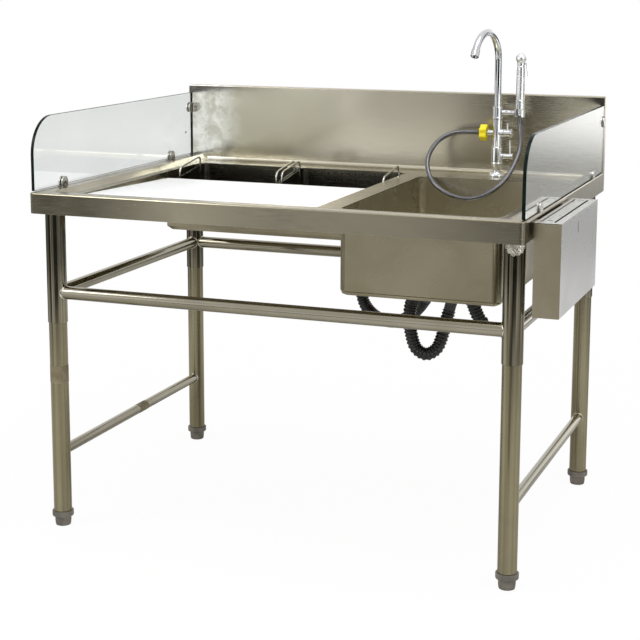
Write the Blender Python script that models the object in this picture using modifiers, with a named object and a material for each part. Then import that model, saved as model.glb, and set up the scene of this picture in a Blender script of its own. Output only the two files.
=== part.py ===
"""Stainless-steel preparation table with a sink bowl, cutting board, baskets and a mixer tap.

Metres, +Z up. The table's own datum is the middle of its front edge on the floor, +X to the right
and +Y to the back. One empty carries everything, so that the world origin lies under the middle of
the whole object.
"""

import math

import bmesh
import bpy
from mathutils import Matrix, Vector

# General clearances and sheet

GAP = 0.0003
SHEET = 0.0015
MERGE = 0.00001
ROUND_STEPS = 24
FINE_STEPS = 20
SMALL_STEPS = 16
PIN_STEPS = 12

# Worktop: raised rim, deck, apron

RIM_HEIGHT = 0.840
DECK_DROP = 0.013
RIM_SIDE = 0.042
RIM_FRONT = 0.036
RIM_SLOPE = 0.016
APRON_HEIGHT = 0.050
HEM = 0.008
EDGE_ROUND = 0.003
CORNER_RADIUS = 0.011
INNER_CORNER_RADIUS = 0.018
SIDE_STRIP = 0.022
BAR_WIDTH = 0.055
FRONT_STRIP = 0.053
REAR_STRIP = 0.097

# Backsplash

SPLASH_RISE = 0.200
SPLASH_THICK = 0.022
SPLASH_ROUND = 0.003
SPLASH_RETURN = 0.012

# Sink bowl

BOWL_WIDTH = 0.377
BOWL_DEPTH = 0.620
BOWL_HEIGHT = 0.200
BOWL_SETBACK = 0.063
BOWL_CORNER = 0.018
BOWL_BOTTOM_ROUND = 0.012
BOWL_FLANGE = 0.008

# Cutting board, its shelf, the trough and the baskets

BOARD_LENGTH = 0.600
BOARD_DEPTH = 0.460
BOARD_THICK = 0.020
BOARD_PLAY = 0.004
BOARD_FALL = 0.016
BOARD_ROUND = 0.002
BOARD_SINK = 0.001
TROUGH_WIDTH = 0.208
TROUGH_DEPTH = 0.157
TROUGH_ROUND = 0.010
TROUGH_STEP = 0.002
BASKET_LENGTH = 0.290
BASKET_DEPTH = 0.120
BASKET_PLAY = 0.004
BASKET_FALL = 0.024
BASKET_CORNER = 0.014
BASKET_BOTTOM_ROUND = 0.008
BASKET_LIP = 0.002
BASKET_FLANGE = 0.008
BASKET_SHEET = 0.0012
BASKET_SPACING = 0.009
BASKET_SHIFT = 0.006
HOLE_DIAMETER = 0.006
HOLE_PITCH = 0.0195
HOLE_COLUMNS = 14
HOLE_ROWS = 2
HOLE_ROW_PITCH = 0.0175
HOLE_TOP = 0.0105
HOLE_SIDES = 6
BOTTOM_HOLE_PITCH = 0.060
BOTTOM_HOLE_COLUMNS = 4
BOTTOM_HOLE_ROWS = 2
HANDLE_WIRE = 0.005
HANDLE_LENGTH = 0.130
HANDLE_RISE = 0.026
HANDLE_LEG = 0.020
HANDLE_BEND = 0.014
HANDLE_WELD = 0.0006

# Legs, sockets, rails and feet

LEG_INSET_X = 0.034
LEG_INSET_Y = 0.062
SOCKET_DIAMETER = 0.048
SOCKET_WALL = 0.0015
SOCKET_BOTTOM = 0.516
LEG_CLEARANCE = 0.0003
LEG_WALL = 0.0015
LEG_INSERTION = 0.124
UPPER_RAIL_DIAMETER = 0.032
UPPER_RAIL_HEIGHT = 0.590
LOWER_RAIL_DIAMETER = 0.025
LOWER_RAIL_HEIGHT = 0.188
CHANNEL_WIDTH = 0.060
CHANNEL_INSET = 0.004
CHANNEL_DEPTH = 0.025
CHANNEL_SETBACK = 0.030
FOOT_HEIGHT = 0.024
FOOT_DIAMETER = 0.040
FOOT_CHAMFER = 0.004
FOOT_STEM_DIAMETER = 0.010
FOOT_STEM_LENGTH = 0.020
INSERT_DIAMETER = 0.053
INSERT_HEIGHT = 0.014
INSERT_SPIGOT = 0.025

# Glass screens and clamps

GLASS_THICK = 0.008
GLASS_INSET = 0.001
GLASS_FRONT = 0.012
GLASS_LIFT = 0.002
GLASS_HEIGHT = 0.175
GLASS_RADIUS = 0.090
CLAMP_JAW = 0.004
CLAMP_WIDTH = 0.028
CLAMP_HEIGHT = 0.022
CLAMP_FRONT = 0.150
CLAMP_REAR = 0.745
CLAMP_SPLASH_HEIGHT = 0.975
CLAMP_SCREW = 0.005
CLAMP_SCREW_PROUD = 0.001

# Knife box

KNIFE_BOX_WIDTH = 0.060
KNIFE_BOX_LENGTH = 0.400
KNIFE_BOX_HEIGHT = 0.208
KNIFE_BOX_FRONT = 0.065
KNIFE_BOX_SPACER = 0.006
KNIFE_BOX_SHEET = 0.0012
KNIFE_BOX_TOP = 0.829
SPACER_LENGTH = 0.040
SPACER_HEIGHT = 0.030
SPACER_LIFT = 0.005
SPACER_PLACE = 0.055
SLOT_END = 0.022
WIDE_SLOT = 0.005
WIDE_SLOT_PLACE = 0.0405
NARROW_SLOT = 0.003
NARROW_SLOT_PLACE = 0.010
SHORT_SLOT = 0.013

# Tap

TAP_HOLE_PLAY = 0.001
TAP_FLANGE_DIAMETER = 0.040
TAP_FLANGE_BEND_DIAMETER = 0.0344
TAP_FLANGE_TOP_DIAMETER = 0.0256
TAP_FLANGE_HEIGHT = 0.013
TAP_FLANGE_BEND = 0.00975
TAP_FLANGE_EDGE = 0.00325
TAP_NECK_DIAMETER = 0.016
TAP_BODY_DIAMETER = 0.024
TAP_BARREL_DIAMETER = 0.028
TAP_RING_DIAMETER = 0.029
TAP_SHOULDER_DIAMETER = 0.030
TAP_WAIST_DIAMETER = 0.0255
TAP_WAIST = 0.026
TAP_SHOULDER = 0.035
TAP_RING = 0.070
TAP_RING_HEIGHT = 0.008
TAP_BODY_TOP = 0.151
TAP_BOSS_REACH = 0.018
TAP_STEM_DIAMETER = 0.008
TAP_STEM_LENGTH = 0.010
MAIN_TAP_HEIGHT = 0.054
MAIN_TAP_DIAMETER = 0.015
MAIN_TAP_LENGTH = 0.026
MAIN_PIN_PLACE = 0.017
MAIN_PIN_RISE = 0.043
SPRAY_TAP_HEIGHT = 0.115
SPRAY_TAP_DIAMETER = 0.021
SPRAY_TAP_LENGTH = 0.0225
SPRAY_PIN_PLACE = 0.009
SPRAY_PIN_RISE = 0.026
TAP_CAP_THICK = 0.004
TAP_CAP_LIP = 0.0015
TAP_PIN_DIAMETER = 0.005
HOSE_PORT_DIAMETER = 0.015
HOSE_PORT_REACH = 0.026
HOSE_NIPPLE_DIAMETER = 0.010
HOSE_NIPPLE_LENGTH = 0.013
HOSE_NUT_DIAMETER = 0.040
HOSE_NUT_THICK = 0.0185
HOSE_NUT_LOBES = 6
HOSE_NUT_LOBE = 0.0018
LOBE_STEPS = 4
HOSE_NUT_DISH = 0.003
DISH_DIAMETER = 0.036
DISH_FLOOR_DIAMETER = 0.0144
HOSE_END_PLAY = 0.0009
COLLAR_DIAMETER = 0.027
COLLAR_HEIGHT = 0.033
HOLDER_REACH = 0.060
HOLDER_ARM_RISE = 0.018
HOLDER_ARM_DIAMETER = 0.014
CUP_DIAMETER = 0.028
CUP_BORE = 0.021
CUP_HEIGHT = 0.020
CUP_SLOT = 0.0135
SPOUT_DIAMETER = 0.019
SPOUT_WALL = 0.002
SPOUT_STRAIGHT = 0.153
SPOUT_RADIUS = 0.075
SPOUT_SWEEP = 158.0
SPOUT_STEPS = 12
SPOUT_TURN = 9.5
AERATOR_DIAMETER = 0.022
AERATOR_LENGTH = 0.020
AERATOR_OVERLAP = 0.006
SHANK_DIAMETER = 0.020
SHANK_LENGTH = 0.055
SHANK_NUT_ACROSS = 0.036
SHANK_NUT_THICK = 0.012

# Hand sprayer and its hose, heights measured from the bottom of the sprayer

SPRAY_STEM_DIAMETER = 0.0166
SPRAY_STEM_LENGTH = 0.041
SPRAY_STEM_IN_CUP = 0.016
SPRAY_GRIP_DIAMETER = 0.0237
SPRAY_NECK_DIAMETER = 0.0205
SPRAY_GRIP_LENGTH = 0.078
SPRAY_NECK_LENGTH = 0.020
SPRAY_BALL_DIAMETER = 0.0275
SPRAY_NUT_DIAMETER = 0.025
SPRAY_LEVER_THICK = 0.003
SPRAY_LEVER_WIDTH = 0.012
SPRAY_LEVER_LENGTH = 0.034
SPRAY_KNUCKLE = 0.006
SPRAY_LEVER_TILT = 8.0
SHOWER_HOSE_DIAMETER = 0.012
SHOWER_HOSE_STEP = 0.026
SHOWER_HOSE_STRAIGHT = 0.014
ROUTE_STEPS = 24

# Waste and drain hoses

WASTE_HOLE = 0.070
WASTE_FLANGE_DIAMETER = 0.096
WASTE_FLANGE_THICK = 0.002
WASTE_NECK_DIAMETER = 0.066
WASTE_NECK_LENGTH = 0.030
WASTE_WALL = 0.0015
WASTE_COLLAR_DIAMETER = 0.088
WASTE_COLLAR_THICK = 0.004
WASTE_BODY_DIAMETER = 0.074
WASTE_BODY_DEPTH = 0.040
WASTE_BOTTOM = 0.004
WASTE_PIPE_DIAMETER = 0.030
WASTE_PIPE_BORE = 0.022
STRAINER_DIAMETER = 0.060
STRAINER_RIM = 0.072
STRAINER_DEPTH = 0.014
STRAINER_SHEET = 0.0012
STRAINER_KNOB = 0.012
OUTLET_X = 0.008
OUTLET_SETBACK = 0.077
OUTLET_HOLE = 0.034
OUTLET_FLANGE = 0.050
OUTLET_PIPE = 0.033
OUTLET_BORE = 0.024
OUTLET_LENGTH = 0.070
DRAIN_HOSE_DIAMETER = 0.033
DRAIN_HOSE_BORE = 0.023
DRAIN_HOSE_STRAIGHT = 0.033
RIB_PITCH = 0.0100
RIB_DEPTH = 0.0025
BORE_STEP = 0.024
CUFF_DIAMETER = 0.037
CUFF_LENGTH = 0.025

# Places that follow from the sizes

WELL_WIDTH = BOARD_LENGTH + 2 * BOARD_PLAY
WIDTH = 2 * (RIM_SIDE + RIM_SLOPE + SIDE_STRIP) + WELL_WIDTH + BAR_WIDTH + BOWL_WIDTH
SHELF_LENGTH = BOARD_DEPTH + 2 * BOARD_PLAY
WELL_LENGTH = SHELF_LENGTH + TROUGH_WIDTH
WELL_FRONT = RIM_FRONT + RIM_SLOPE + FRONT_STRIP
WELL_REAR = WELL_FRONT + WELL_LENGTH
SPLASH_FACE = WELL_REAR + REAR_STRIP
DEPTH = SPLASH_FACE + SPLASH_THICK
LEFT = -WIDTH / 2
RIGHT = WIDTH / 2
DECK = RIM_HEIGHT - DECK_DROP
UNDER_DECK = DECK - SHEET - GAP
WELL_LEFT = LEFT + RIM_SIDE + RIM_SLOPE + SIDE_STRIP
WELL_RIGHT = WELL_LEFT + WELL_WIDTH
BOWL_RIGHT = RIGHT - RIM_SIDE - RIM_SLOPE - SIDE_STRIP
BOWL_LEFT = BOWL_RIGHT - BOWL_WIDTH
BOWL_FRONT = RIM_FRONT + RIM_SLOPE + BOWL_SETBACK
BOWL_REAR = BOWL_FRONT + BOWL_DEPTH
BOWL_FLOOR = DECK - BOWL_HEIGHT
BOWL_X = (BOWL_LEFT + BOWL_RIGHT) / 2
BOWL_Y = (BOWL_FRONT + BOWL_REAR) / 2
SHELF_REAR = WELL_FRONT + SHELF_LENGTH
TROUGH_FLOOR = DECK - TROUGH_DEPTH
TAP_X = BOWL_X
TAP_Y = (BOWL_REAR + SPLASH_FACE) / 2
LEG_DIAMETER = SOCKET_DIAMETER - 2 * SOCKET_WALL - 2 * LEG_CLEARANCE
LEG_BOTTOM = FOOT_HEIGHT + INSERT_HEIGHT
LEG_TOP = SOCKET_BOTTOM + LEG_INSERTION
KNIFE_BOX_OUT = KNIFE_BOX_SPACER + KNIFE_BOX_WIDTH
TAP_BASE = Vector((TAP_X, TAP_Y, DECK))
WASTE_TOP = Vector((BOWL_X, BOWL_Y, BOWL_FLOOR))
OUTLET_TOP = Vector((OUTLET_X, SHELF_REAR + OUTLET_SETBACK, TROUGH_FLOOR))
CLAMP_OVERHANG = CLAMP_JAW - GLASS_INSET
DATUM = Vector(((CLAMP_OVERHANG - KNIFE_BOX_OUT) / 2, -DEPTH / 2, 0.0))

# The hoses' routes, chosen by eye from the way they hang: the shower hose from the foot of the tap,
# each drain hose partly from the fitting where it starts and partly from the bowl's waste

SHOWER_ROUTE = [
    (-0.0955, -0.0025, 0.114),
    (-0.1235, -0.0105, 0.109),
    (-0.1495, -0.0235, 0.094),
    (-0.1665, -0.0405, 0.070),
    (-0.1715, -0.0595, 0.042),
    (-0.1635, -0.0795, 0.015),
    (-0.1415, -0.1005, -0.012),
    (-0.0995, -0.1175, -0.036),
    (-0.0515, -0.1245, -0.046),
    (-0.0095, -0.1215, -0.039),
    (0.0245, -0.1075, -0.019),
    (0.0485, -0.0845, 0.009),
    (0.0620, -0.0585, 0.040),
    (0.0685, -0.0305, 0.076),
    (0.0665, -0.0105, 0.113),
]
TROUGH_ROUTE_START = [
    (0.005, -0.003, -0.150),
    (0.022, -0.013, -0.185),
    (0.064, -0.040, -0.206),
    (0.118, -0.077, -0.204),
]
TROUGH_ROUTE_END = [
    (-0.1555, 0.111, -0.139),
    (-0.1155, 0.075, -0.103),
]
TROUGH_HOSE_END = (-0.0865, 0.041, -0.070)
BOWL_HOSE_START = (-0.0135, -0.001, -0.087)
BOWL_ROUTE = [
    (-0.0295, -0.011, -0.157),
    (-0.0415, -0.017, -0.183),
    (-0.0645, -0.023, -0.195),
    (-0.0885, -0.027, -0.181),
    (-0.1005, -0.029, -0.147),
    (-0.1055, -0.030, -0.107),
    (-0.1005, -0.032, -0.069),
    (-0.0795, -0.045, -0.039),
    (-0.0415, -0.059, -0.027),
    (0.0065, -0.059, -0.027),
    (0.0465, -0.045, -0.037),
]
BOWL_HOSE_END = (0.0725, -0.027, -0.099)
TAIL_PIPE_BENDS = [(-0.003, 0.0, -0.052), (0.0, 0.0, -0.039)]
SIDE_PIPE_BENDS = [(-0.052, 0.022, -0.030), (-0.026, 0.008, -0.026)]

# Scene, collections and materials


def clear_scene():
    for obj in list(bpy.data.objects):
        bpy.data.objects.remove(obj, do_unlink=True)


def new_collection(name):
    collection = bpy.data.collections.new(name)
    bpy.context.scene.collection.children.link(collection)
    return collection


def material(name, colour, roughness, metallic, alpha=1.0):
    mat = bpy.data.materials.new(name)
    mat.use_nodes = True
    shader = mat.node_tree.nodes["Principled BSDF"]
    shader.inputs["Base Color"].default_value = (*colour, 1.0)
    shader.inputs["Roughness"].default_value = roughness
    shader.inputs["Metallic"].default_value = metallic
    shader.inputs["Alpha"].default_value = alpha
    mat.diffuse_color = (*colour, alpha)
    return mat


clear_scene()
PARTS = new_collection("preparation_sink_table")
CUTTERS = new_collection("cutters")

STEEL = material("brushed_steel", (0.42, 0.40, 0.34), 0.34, 1.0)
TUBE_STEEL = material("tube_steel", (0.46, 0.44, 0.38), 0.24, 1.0)
CHROME = material("chrome", (0.62, 0.63, 0.65), 0.08, 1.0)
WHITE_PLASTIC = material("white_board", (0.86, 0.87, 0.87), 0.45, 0.0)
GREY_PLASTIC = material("grey_plastic", (0.13, 0.12, 0.11), 0.5, 0.0)
BLACK_PLASTIC = material("black_plastic", (0.02, 0.02, 0.02), 0.45, 0.0)
YELLOW_PLASTIC = material("yellow_plastic", (0.85, 0.70, 0.01), 0.35, 0.0)
GLASS = material("clear_glass", (0.75, 0.84, 0.81), 0.03, 0.0, 0.35)

datum = bpy.data.objects.new("table_datum", None)
datum.location = DATUM
PARTS.objects.link(datum)

# Mesh helpers: every place below is given in the table's own datum


def add_object(name, bm, origin, mat, collection=PARTS, smooth=False):
    """Make an object from a bmesh whose vertices are placed relative to origin."""
    mesh = bpy.data.meshes.new(name)
    bm.to_mesh(mesh)
    bm.free()
    if smooth:
        mesh.shade_smooth()
        mesh.set_sharp_from_angle(angle=math.radians(35))
    obj = bpy.data.objects.new(name, mesh)
    obj.location = origin
    obj.parent = datum
    collection.objects.link(obj)
    if mat is not None:
        mesh.materials.append(mat)
    if collection is CUTTERS:
        obj.hide_render = True
        obj.display_type = "WIRE"
    return obj


def box_mesh(bm, low, high):
    """Add a box between two corners to a bmesh."""
    low = Vector(low)
    high = Vector(high)
    made = bmesh.ops.create_cube(bm, size=1.0)
    size = high - low
    bmesh.ops.scale(bm, vec=size, verts=made["verts"])
    bmesh.ops.translate(bm, vec=(low + high) / 2, verts=made["verts"])
    return made["verts"]


def box(name, low, high, mat, collection=PARTS, origin=None):
    origin = Vector(origin if origin is not None else low)
    bm = bmesh.new()
    box_mesh(bm, Vector(low) - origin, Vector(high) - origin)
    return add_object(name, bm, origin, mat, collection)


def turn_towards(axis):
    """Rotation that takes +Z to the given direction."""
    return Vector((0, 0, 1)).rotation_difference(Vector(axis)).to_matrix().to_4x4()


def cylinder_mesh(bm, start, end, radius, steps=ROUND_STEPS, end_radius=None):
    start = Vector(start)
    end = Vector(end)
    axis = end - start
    place = Matrix.Translation((start + end) / 2) @ turn_towards(axis)
    made = bmesh.ops.create_cone(
        bm, cap_ends=True, cap_tris=False, segments=steps, radius1=radius,
        radius2=radius if end_radius is None else end_radius, depth=axis.length, matrix=place)
    return made["verts"]


def cylinder(name, start, end, diameter, mat, steps=ROUND_STEPS, collection=PARTS, origin=None):
    origin = Vector(origin if origin is not None else start)
    bm = bmesh.new()
    cylinder_mesh(bm, Vector(start) - origin, Vector(end) - origin, diameter / 2, steps)
    return add_object(name, bm, origin, mat, collection, smooth=True)


def turned(name, profile, origin, mat, steps=ROUND_STEPS, closed=False, collection=PARTS):
    """Turn a profile of (radius, height) pairs, listed down its outer side, about +Z."""
    bm = bmesh.new()
    verts = [bm.verts.new((radius, 0.0, height)) for radius, height in profile]
    for first, second in zip(verts, verts[1:]):
        bm.edges.new((first, second))
    if closed:
        bm.edges.new((verts[-1], verts[0]))
    obj = add_object(name, bm, origin, mat, collection)
    screw = obj.modifiers.new("turn", "SCREW")
    screw.axis = "Z"
    screw.angle = math.tau
    screw.steps = steps
    screw.render_steps = steps
    screw.use_merge_vertices = True
    screw.merge_threshold = MERGE
    screw.use_smooth_shade = True
    return obj


def pipe(name, foot, length, diameter, wall, mat, steps=ROUND_STEPS):
    """An upright tube, open at both ends."""
    outer = diameter / 2
    inner = outer - wall
    profile = [(outer, length), (outer, 0.0), (inner, 0.0), (inner, length)]
    return turned(name, profile, foot, mat, steps, closed=True)


def cut(obj, cutter):
    boolean = obj.modifiers.new("cut", "BOOLEAN")
    boolean.operation = "DIFFERENCE"
    boolean.solver = "EXACT"
    boolean.object = cutter


def unite(obj, other):
    boolean = obj.modifiers.new("join", "BOOLEAN")
    boolean.operation = "UNION"
    boolean.solver = "EXACT"
    boolean.object = other


def rounded_rectangle(x0, x1, y0, y1, radius, z, steps=3):
    """Points round a rectangle with round corners, anticlockwise from above."""
    corners = [(x0, y0, 180), (x1, y0, 270), (x1, y1, 0), (x0, y1, 90)]
    points = []
    for x, y, start in corners:
        centre_x = x + radius if x == x0 else x - radius
        centre_y = y + radius if y == y0 else y - radius
        for step in range(steps + 1):
            angle = math.radians(start + 90 * step / steps)
            points.append((centre_x + radius * math.cos(angle), centre_y + radius * math.sin(angle), z))
    return points


def loft(bm, rings, closed=True, fill_last=True):
    """Join rings of as many points each by quads, then close the last one with a flat face."""
    made = [[bm.verts.new(point) for point in ring] for ring in rings]
    count = len(rings[0])
    spans = count if closed else count - 1
    for lower, upper in zip(made, made[1:]):
        for index in range(spans):
            following = (index + 1) % count
            bm.faces.new((lower[index], lower[following], upper[following], upper[index]))
    if fill_last:
        bm.faces.new(made[-1])
    return made


def solidify(obj, thickness):
    """Thicken an open sheet on the side that its faces look away from."""
    shell = obj.modifiers.new("sheet", "SOLIDIFY")
    shell.thickness = thickness
    shell.offset = -1.0
    shell.use_even_offset = True


def as_tool(obj):
    """Move an object to the cutters, for use in a Boolean."""
    for collection in list(obj.users_collection):
        collection.objects.unlink(obj)
    CUTTERS.objects.link(obj)
    obj.hide_render = True
    obj.display_type = "WIRE"


def shifted(points, origin):
    return [Vector(point) - Vector(origin) for point in points]


def outline_solid(name, outline, thickness, origin, rotation, mat, bevel=0.0, collection=PARTS):
    """Extrude a flat outline, given as (x, y) pairs, to both sides of its plane."""
    curve = bpy.data.curves.new(name, "CURVE")
    curve.dimensions = "2D"
    curve.fill_mode = "BOTH"
    curve.extrude = thickness / 2 - bevel
    curve.bevel_depth = bevel
    curve.bevel_resolution = 0
    curve.offset = -bevel
    spline = curve.splines.new("POLY")
    spline.points.add(len(outline) - 1)
    for point, (x, y) in zip(spline.points, outline):
        point.co = (x, y, 0.0, 1.0)
    spline.use_cyclic_u = True
    guide = bpy.data.objects.new(name + "_guide", curve)
    guide.location = origin
    guide.rotation_euler = rotation
    guide.parent = datum
    collection.objects.link(guide)
    return curve_to_mesh(name, guide, mat, collection)


def curve_to_mesh(name, guide, mat, collection=PARTS, smooth=False):
    """Swap a curve object for a mesh object with its caps welded on."""
    bpy.context.view_layer.update()
    depsgraph = bpy.context.evaluated_depsgraph_get()
    mesh = bpy.data.meshes.new_from_object(guide.evaluated_get(depsgraph))
    bm = bmesh.new()
    bm.from_mesh(mesh)
    bmesh.ops.remove_doubles(bm, verts=bm.verts, dist=MERGE)
    bm.to_mesh(mesh)
    bm.free()
    mesh.materials.clear()
    if mat is not None:
        mesh.materials.append(mat)
    if smooth:
        mesh.shade_smooth()
        mesh.set_sharp_from_angle(angle=math.radians(40))
    obj = bpy.data.objects.new(name, mesh)
    obj.parent = datum
    obj.matrix_world = guide.matrix_world.copy()
    collection.objects.link(obj)
    if collection is CUTTERS:
        obj.hide_render = True
        obj.display_type = "WIRE"
    bpy.data.objects.remove(guide, do_unlink=True)
    return obj


def tube_along(name, points, diameter, mat, resolution=2, radii=None, collection=PARTS, origin=(0, 0, 0)):
    """A round bar along points, with flat caps; radii scale its thickness from point to point."""
    curve = bpy.data.curves.new(name, "CURVE")
    curve.dimensions = "3D"
    curve.bevel_depth = diameter / 2
    curve.bevel_resolution = resolution
    curve.use_fill_caps = True
    curve.twist_mode = "MINIMUM"
    spline = curve.splines.new("POLY")
    spline.points.add(len(points) - 1)
    for index, point in enumerate(shifted(points, origin)):
        spline.points[index].co = (*point, 1.0)
        if radii is not None:
            spline.points[index].radius = radii[index]
    guide = bpy.data.objects.new(name + "_guide", curve)
    guide.location = origin
    guide.parent = datum
    collection.objects.link(guide)
    return curve_to_mesh(name, guide, mat, collection, smooth=True)


def smooth_route(points, spacing):
    """Points at an even spacing along a route whose first and last stretches are straight."""
    route = [Vector(point) for point in points]
    slopes = [(after - before) / 2 for before, after in zip(route, route[2:])]
    first_way = (route[1] - route[0]).normalized()
    last_way = (route[-1] - route[-2]).normalized()
    slopes[0] = first_way * (route[2] - route[1]).length
    slopes[-1] = last_way * (route[-2] - route[-3]).length
    fine = []
    for index in range(1, len(route) - 2):
        start = route[index]
        end = route[index + 1]
        leave = slopes[index - 1]
        arrive = slopes[index]
        for step in range(ROUTE_STEPS):
            t = step / ROUTE_STEPS
            fine.append(start * (2 * t ** 3 - 3 * t ** 2 + 1) + leave * (t ** 3 - 2 * t ** 2 + t)
                        + end * (3 * t ** 2 - 2 * t ** 3) + arrive * (t ** 3 - t ** 2))
    fine.append(route[-2])
    middle = evenly(fine, spacing)
    return evenly(route[:2], spacing)[:-1] + middle + evenly(route[-2:], spacing)[1:]


def evenly(line, spacing):
    """Points at about the given spacing along a line, both of its ends included."""
    lengths = [0.0]
    for first, second in zip(line, line[1:]):
        lengths.append(lengths[-1] + (second - first).length)
    count = max(1, round(lengths[-1] / spacing))
    result = []
    index = 0
    for step in range(count + 1):
        wanted = lengths[-1] * step / count
        while index < len(lengths) - 2 and lengths[index + 1] < wanted:
            index += 1
        share = (wanted - lengths[index]) / (lengths[index + 1] - lengths[index])
        result.append(line[index].lerp(line[index + 1], share))
    return result


def prism(name, outline, depth, mat=None, collection=CUTTERS):
    """A solid from points round a flat outline, drawn out by a vector."""
    bm = bmesh.new()
    face = bm.faces.new([bm.verts.new(point) for point in outline])
    drawn = bmesh.ops.extrude_face_region(bm, geom=[face])
    moved = [item for item in drawn["geom"] if isinstance(item, bmesh.types.BMVert)]
    bmesh.ops.translate(bm, vec=Vector(depth), verts=moved)
    bmesh.ops.recalc_face_normals(bm, faces=bm.faces)
    return add_object(name, bm, (0, 0, 0), mat, collection)


def arc(centre, radius, start, end, steps):
    """Points (a, b) along an arc, angles in degrees."""
    points = []
    for step in range(steps + 1):
        angle = math.radians(start + (end - start) * step / steps)
        points.append((centre[0] + radius * math.cos(angle), centre[1] + radius * math.sin(angle)))
    return points


# Worktop with its raised rim, its well opening, bowl opening and tap hole


def rim_ring(side, front, radius, z):
    """Rear left corner, front left arc, front right arc and rear right corner at one inset."""
    back = SPLASH_FACE - GAP
    left = arc((LEFT + side + radius, front + radius), radius, 180, 270, 3)
    right = arc((RIGHT - side - radius, front + radius), radius, 270, 360, 3)
    return [(x, y, z) for x, y in [(LEFT + side, back), *left, *right, (RIGHT - side, back)]]


def half_round(inset):
    """How far the surface of the rounded top edge has dropped at an inset from the outside."""
    return EDGE_ROUND - math.sqrt(EDGE_ROUND ** 2 - (EDGE_ROUND - inset) ** 2)


EDGE_MIDDLE = EDGE_ROUND * (1 - math.cos(math.radians(45)))
bm = bmesh.new()
loft(bm, [
    rim_ring(HEM, HEM, CORNER_RADIUS - HEM, RIM_HEIGHT - APRON_HEIGHT),
    rim_ring(0, 0, CORNER_RADIUS, RIM_HEIGHT - APRON_HEIGHT),
    rim_ring(0, 0, CORNER_RADIUS, RIM_HEIGHT - EDGE_ROUND),
    rim_ring(EDGE_MIDDLE, EDGE_MIDDLE, CORNER_RADIUS - EDGE_MIDDLE, RIM_HEIGHT - half_round(EDGE_MIDDLE)),
    rim_ring(EDGE_ROUND, EDGE_ROUND, CORNER_RADIUS - EDGE_ROUND, RIM_HEIGHT),
    rim_ring(RIM_SIDE, RIM_FRONT, INNER_CORNER_RADIUS, RIM_HEIGHT),
    rim_ring(RIM_SIDE + RIM_SLOPE, RIM_FRONT + RIM_SLOPE, INNER_CORNER_RADIUS - RIM_SLOPE, DECK),
], closed=False)
worktop = add_object("worktop", bm, (0, 0, 0), STEEL)
solidify(worktop, SHEET)
cut(worktop, box("well_cutter", (WELL_LEFT, WELL_FRONT, DECK - APRON_HEIGHT),
                 (WELL_RIGHT, WELL_REAR, DECK + APRON_HEIGHT), None, CUTTERS))
bowl_outline = rounded_rectangle(BOWL_LEFT, BOWL_RIGHT, BOWL_FRONT, BOWL_REAR, BOWL_CORNER,
                                 DECK - APRON_HEIGHT)
cut(worktop, prism("bowl_cutter", bowl_outline, (0, 0, 2 * APRON_HEIGHT)))
cut(worktop, cylinder("tap_hole_cutter", (TAP_X, TAP_Y, DECK - APRON_HEIGHT),
                      (TAP_X, TAP_Y, DECK + APRON_HEIGHT), SHANK_DIAMETER + 2 * TAP_HOLE_PLAY, None,
                      collection=CUTTERS))

# Backsplash, folded back at the top and at both ends


def splash_ring(inset, y):
    low = RIM_HEIGHT - APRON_HEIGHT
    high = RIM_HEIGHT + SPLASH_RISE - inset
    return [(RIGHT - inset, y, low), (RIGHT - inset, y, high),
            (LEFT + inset, y, high), (LEFT + inset, y, low)]


SPLASH_MIDDLE = SPLASH_ROUND * (1 - math.cos(math.radians(45)))
bm = bmesh.new()
loft(bm, [
    splash_ring(SPLASH_RETURN, DEPTH),
    splash_ring(0, DEPTH),
    splash_ring(0, SPLASH_FACE + SPLASH_ROUND),
    splash_ring(SPLASH_MIDDLE, SPLASH_FACE + SPLASH_MIDDLE),
    splash_ring(SPLASH_ROUND, SPLASH_FACE),
], closed=False)
backsplash = add_object("backsplash", bm, (0, 0, 0), STEEL)
solidify(backsplash, SHEET)

# Sink bowl


def bowl_ring(out, z, radius):
    return rounded_rectangle(BOWL_LEFT - out, BOWL_RIGHT + out, BOWL_FRONT - out, BOWL_REAR + out,
                             radius, z)


BOWL_FILLET = BOWL_BOTTOM_ROUND * (1 - math.cos(math.radians(45)))
bm = bmesh.new()
loft(bm, [
    bowl_ring(BOWL_FLANGE, UNDER_DECK, BOWL_CORNER + BOWL_FLANGE),
    bowl_ring(0, UNDER_DECK, BOWL_CORNER),
    bowl_ring(0, BOWL_FLOOR + BOWL_BOTTOM_ROUND, BOWL_CORNER),
    bowl_ring(-BOWL_FILLET, BOWL_FLOOR + BOWL_FILLET, BOWL_CORNER - BOWL_FILLET),
    bowl_ring(-BOWL_BOTTOM_ROUND, BOWL_FLOOR, BOWL_CORNER - BOWL_BOTTOM_ROUND),
])
sink_bowl = add_object("sink_bowl", bm, (0, 0, 0), STEEL)
solidify(sink_bowl, SHEET)
cut(sink_bowl, cylinder("waste_hole_cutter", WASTE_TOP - Vector((0, 0, BOWL_CORNER)),
                        WASTE_TOP + Vector((0, 0, BOWL_CORNER)), WASTE_HOLE, None, collection=CUTTERS))

# Board shelf: a sloping tray that is open to the trough, with a lip along its rear edge

SHELF_HIGH = DECK - BOARD_SINK - BOARD_THICK
BOARD_SLOPE = math.atan2(BOARD_FALL, SHELF_LENGTH)
BASKET_REAR = WELL_REAR - BASKET_PLAY
BASKET_FRONT = SHELF_REAR + BASKET_PLAY + SHEET
BASKET_RIM = DECK + GAP + BASKET_SHEET
SHELF_LIP = BASKET_RIM - BASKET_FALL - BASKET_SHEET - GAP


def shelf_height(y):
    return SHELF_HIGH - (y - WELL_FRONT) * math.tan(BOARD_SLOPE)


def shelf_ring(out, rear_height, front_height):
    """Rear left, front left, front right and rear right corner of the shelf's side walls."""
    return [(WELL_LEFT - out, back, rear_height), (WELL_LEFT - out, WELL_FRONT - out, front_height),
            (WELL_RIGHT + out, WELL_FRONT - out, front_height), (WELL_RIGHT + out, back, rear_height)]


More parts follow.
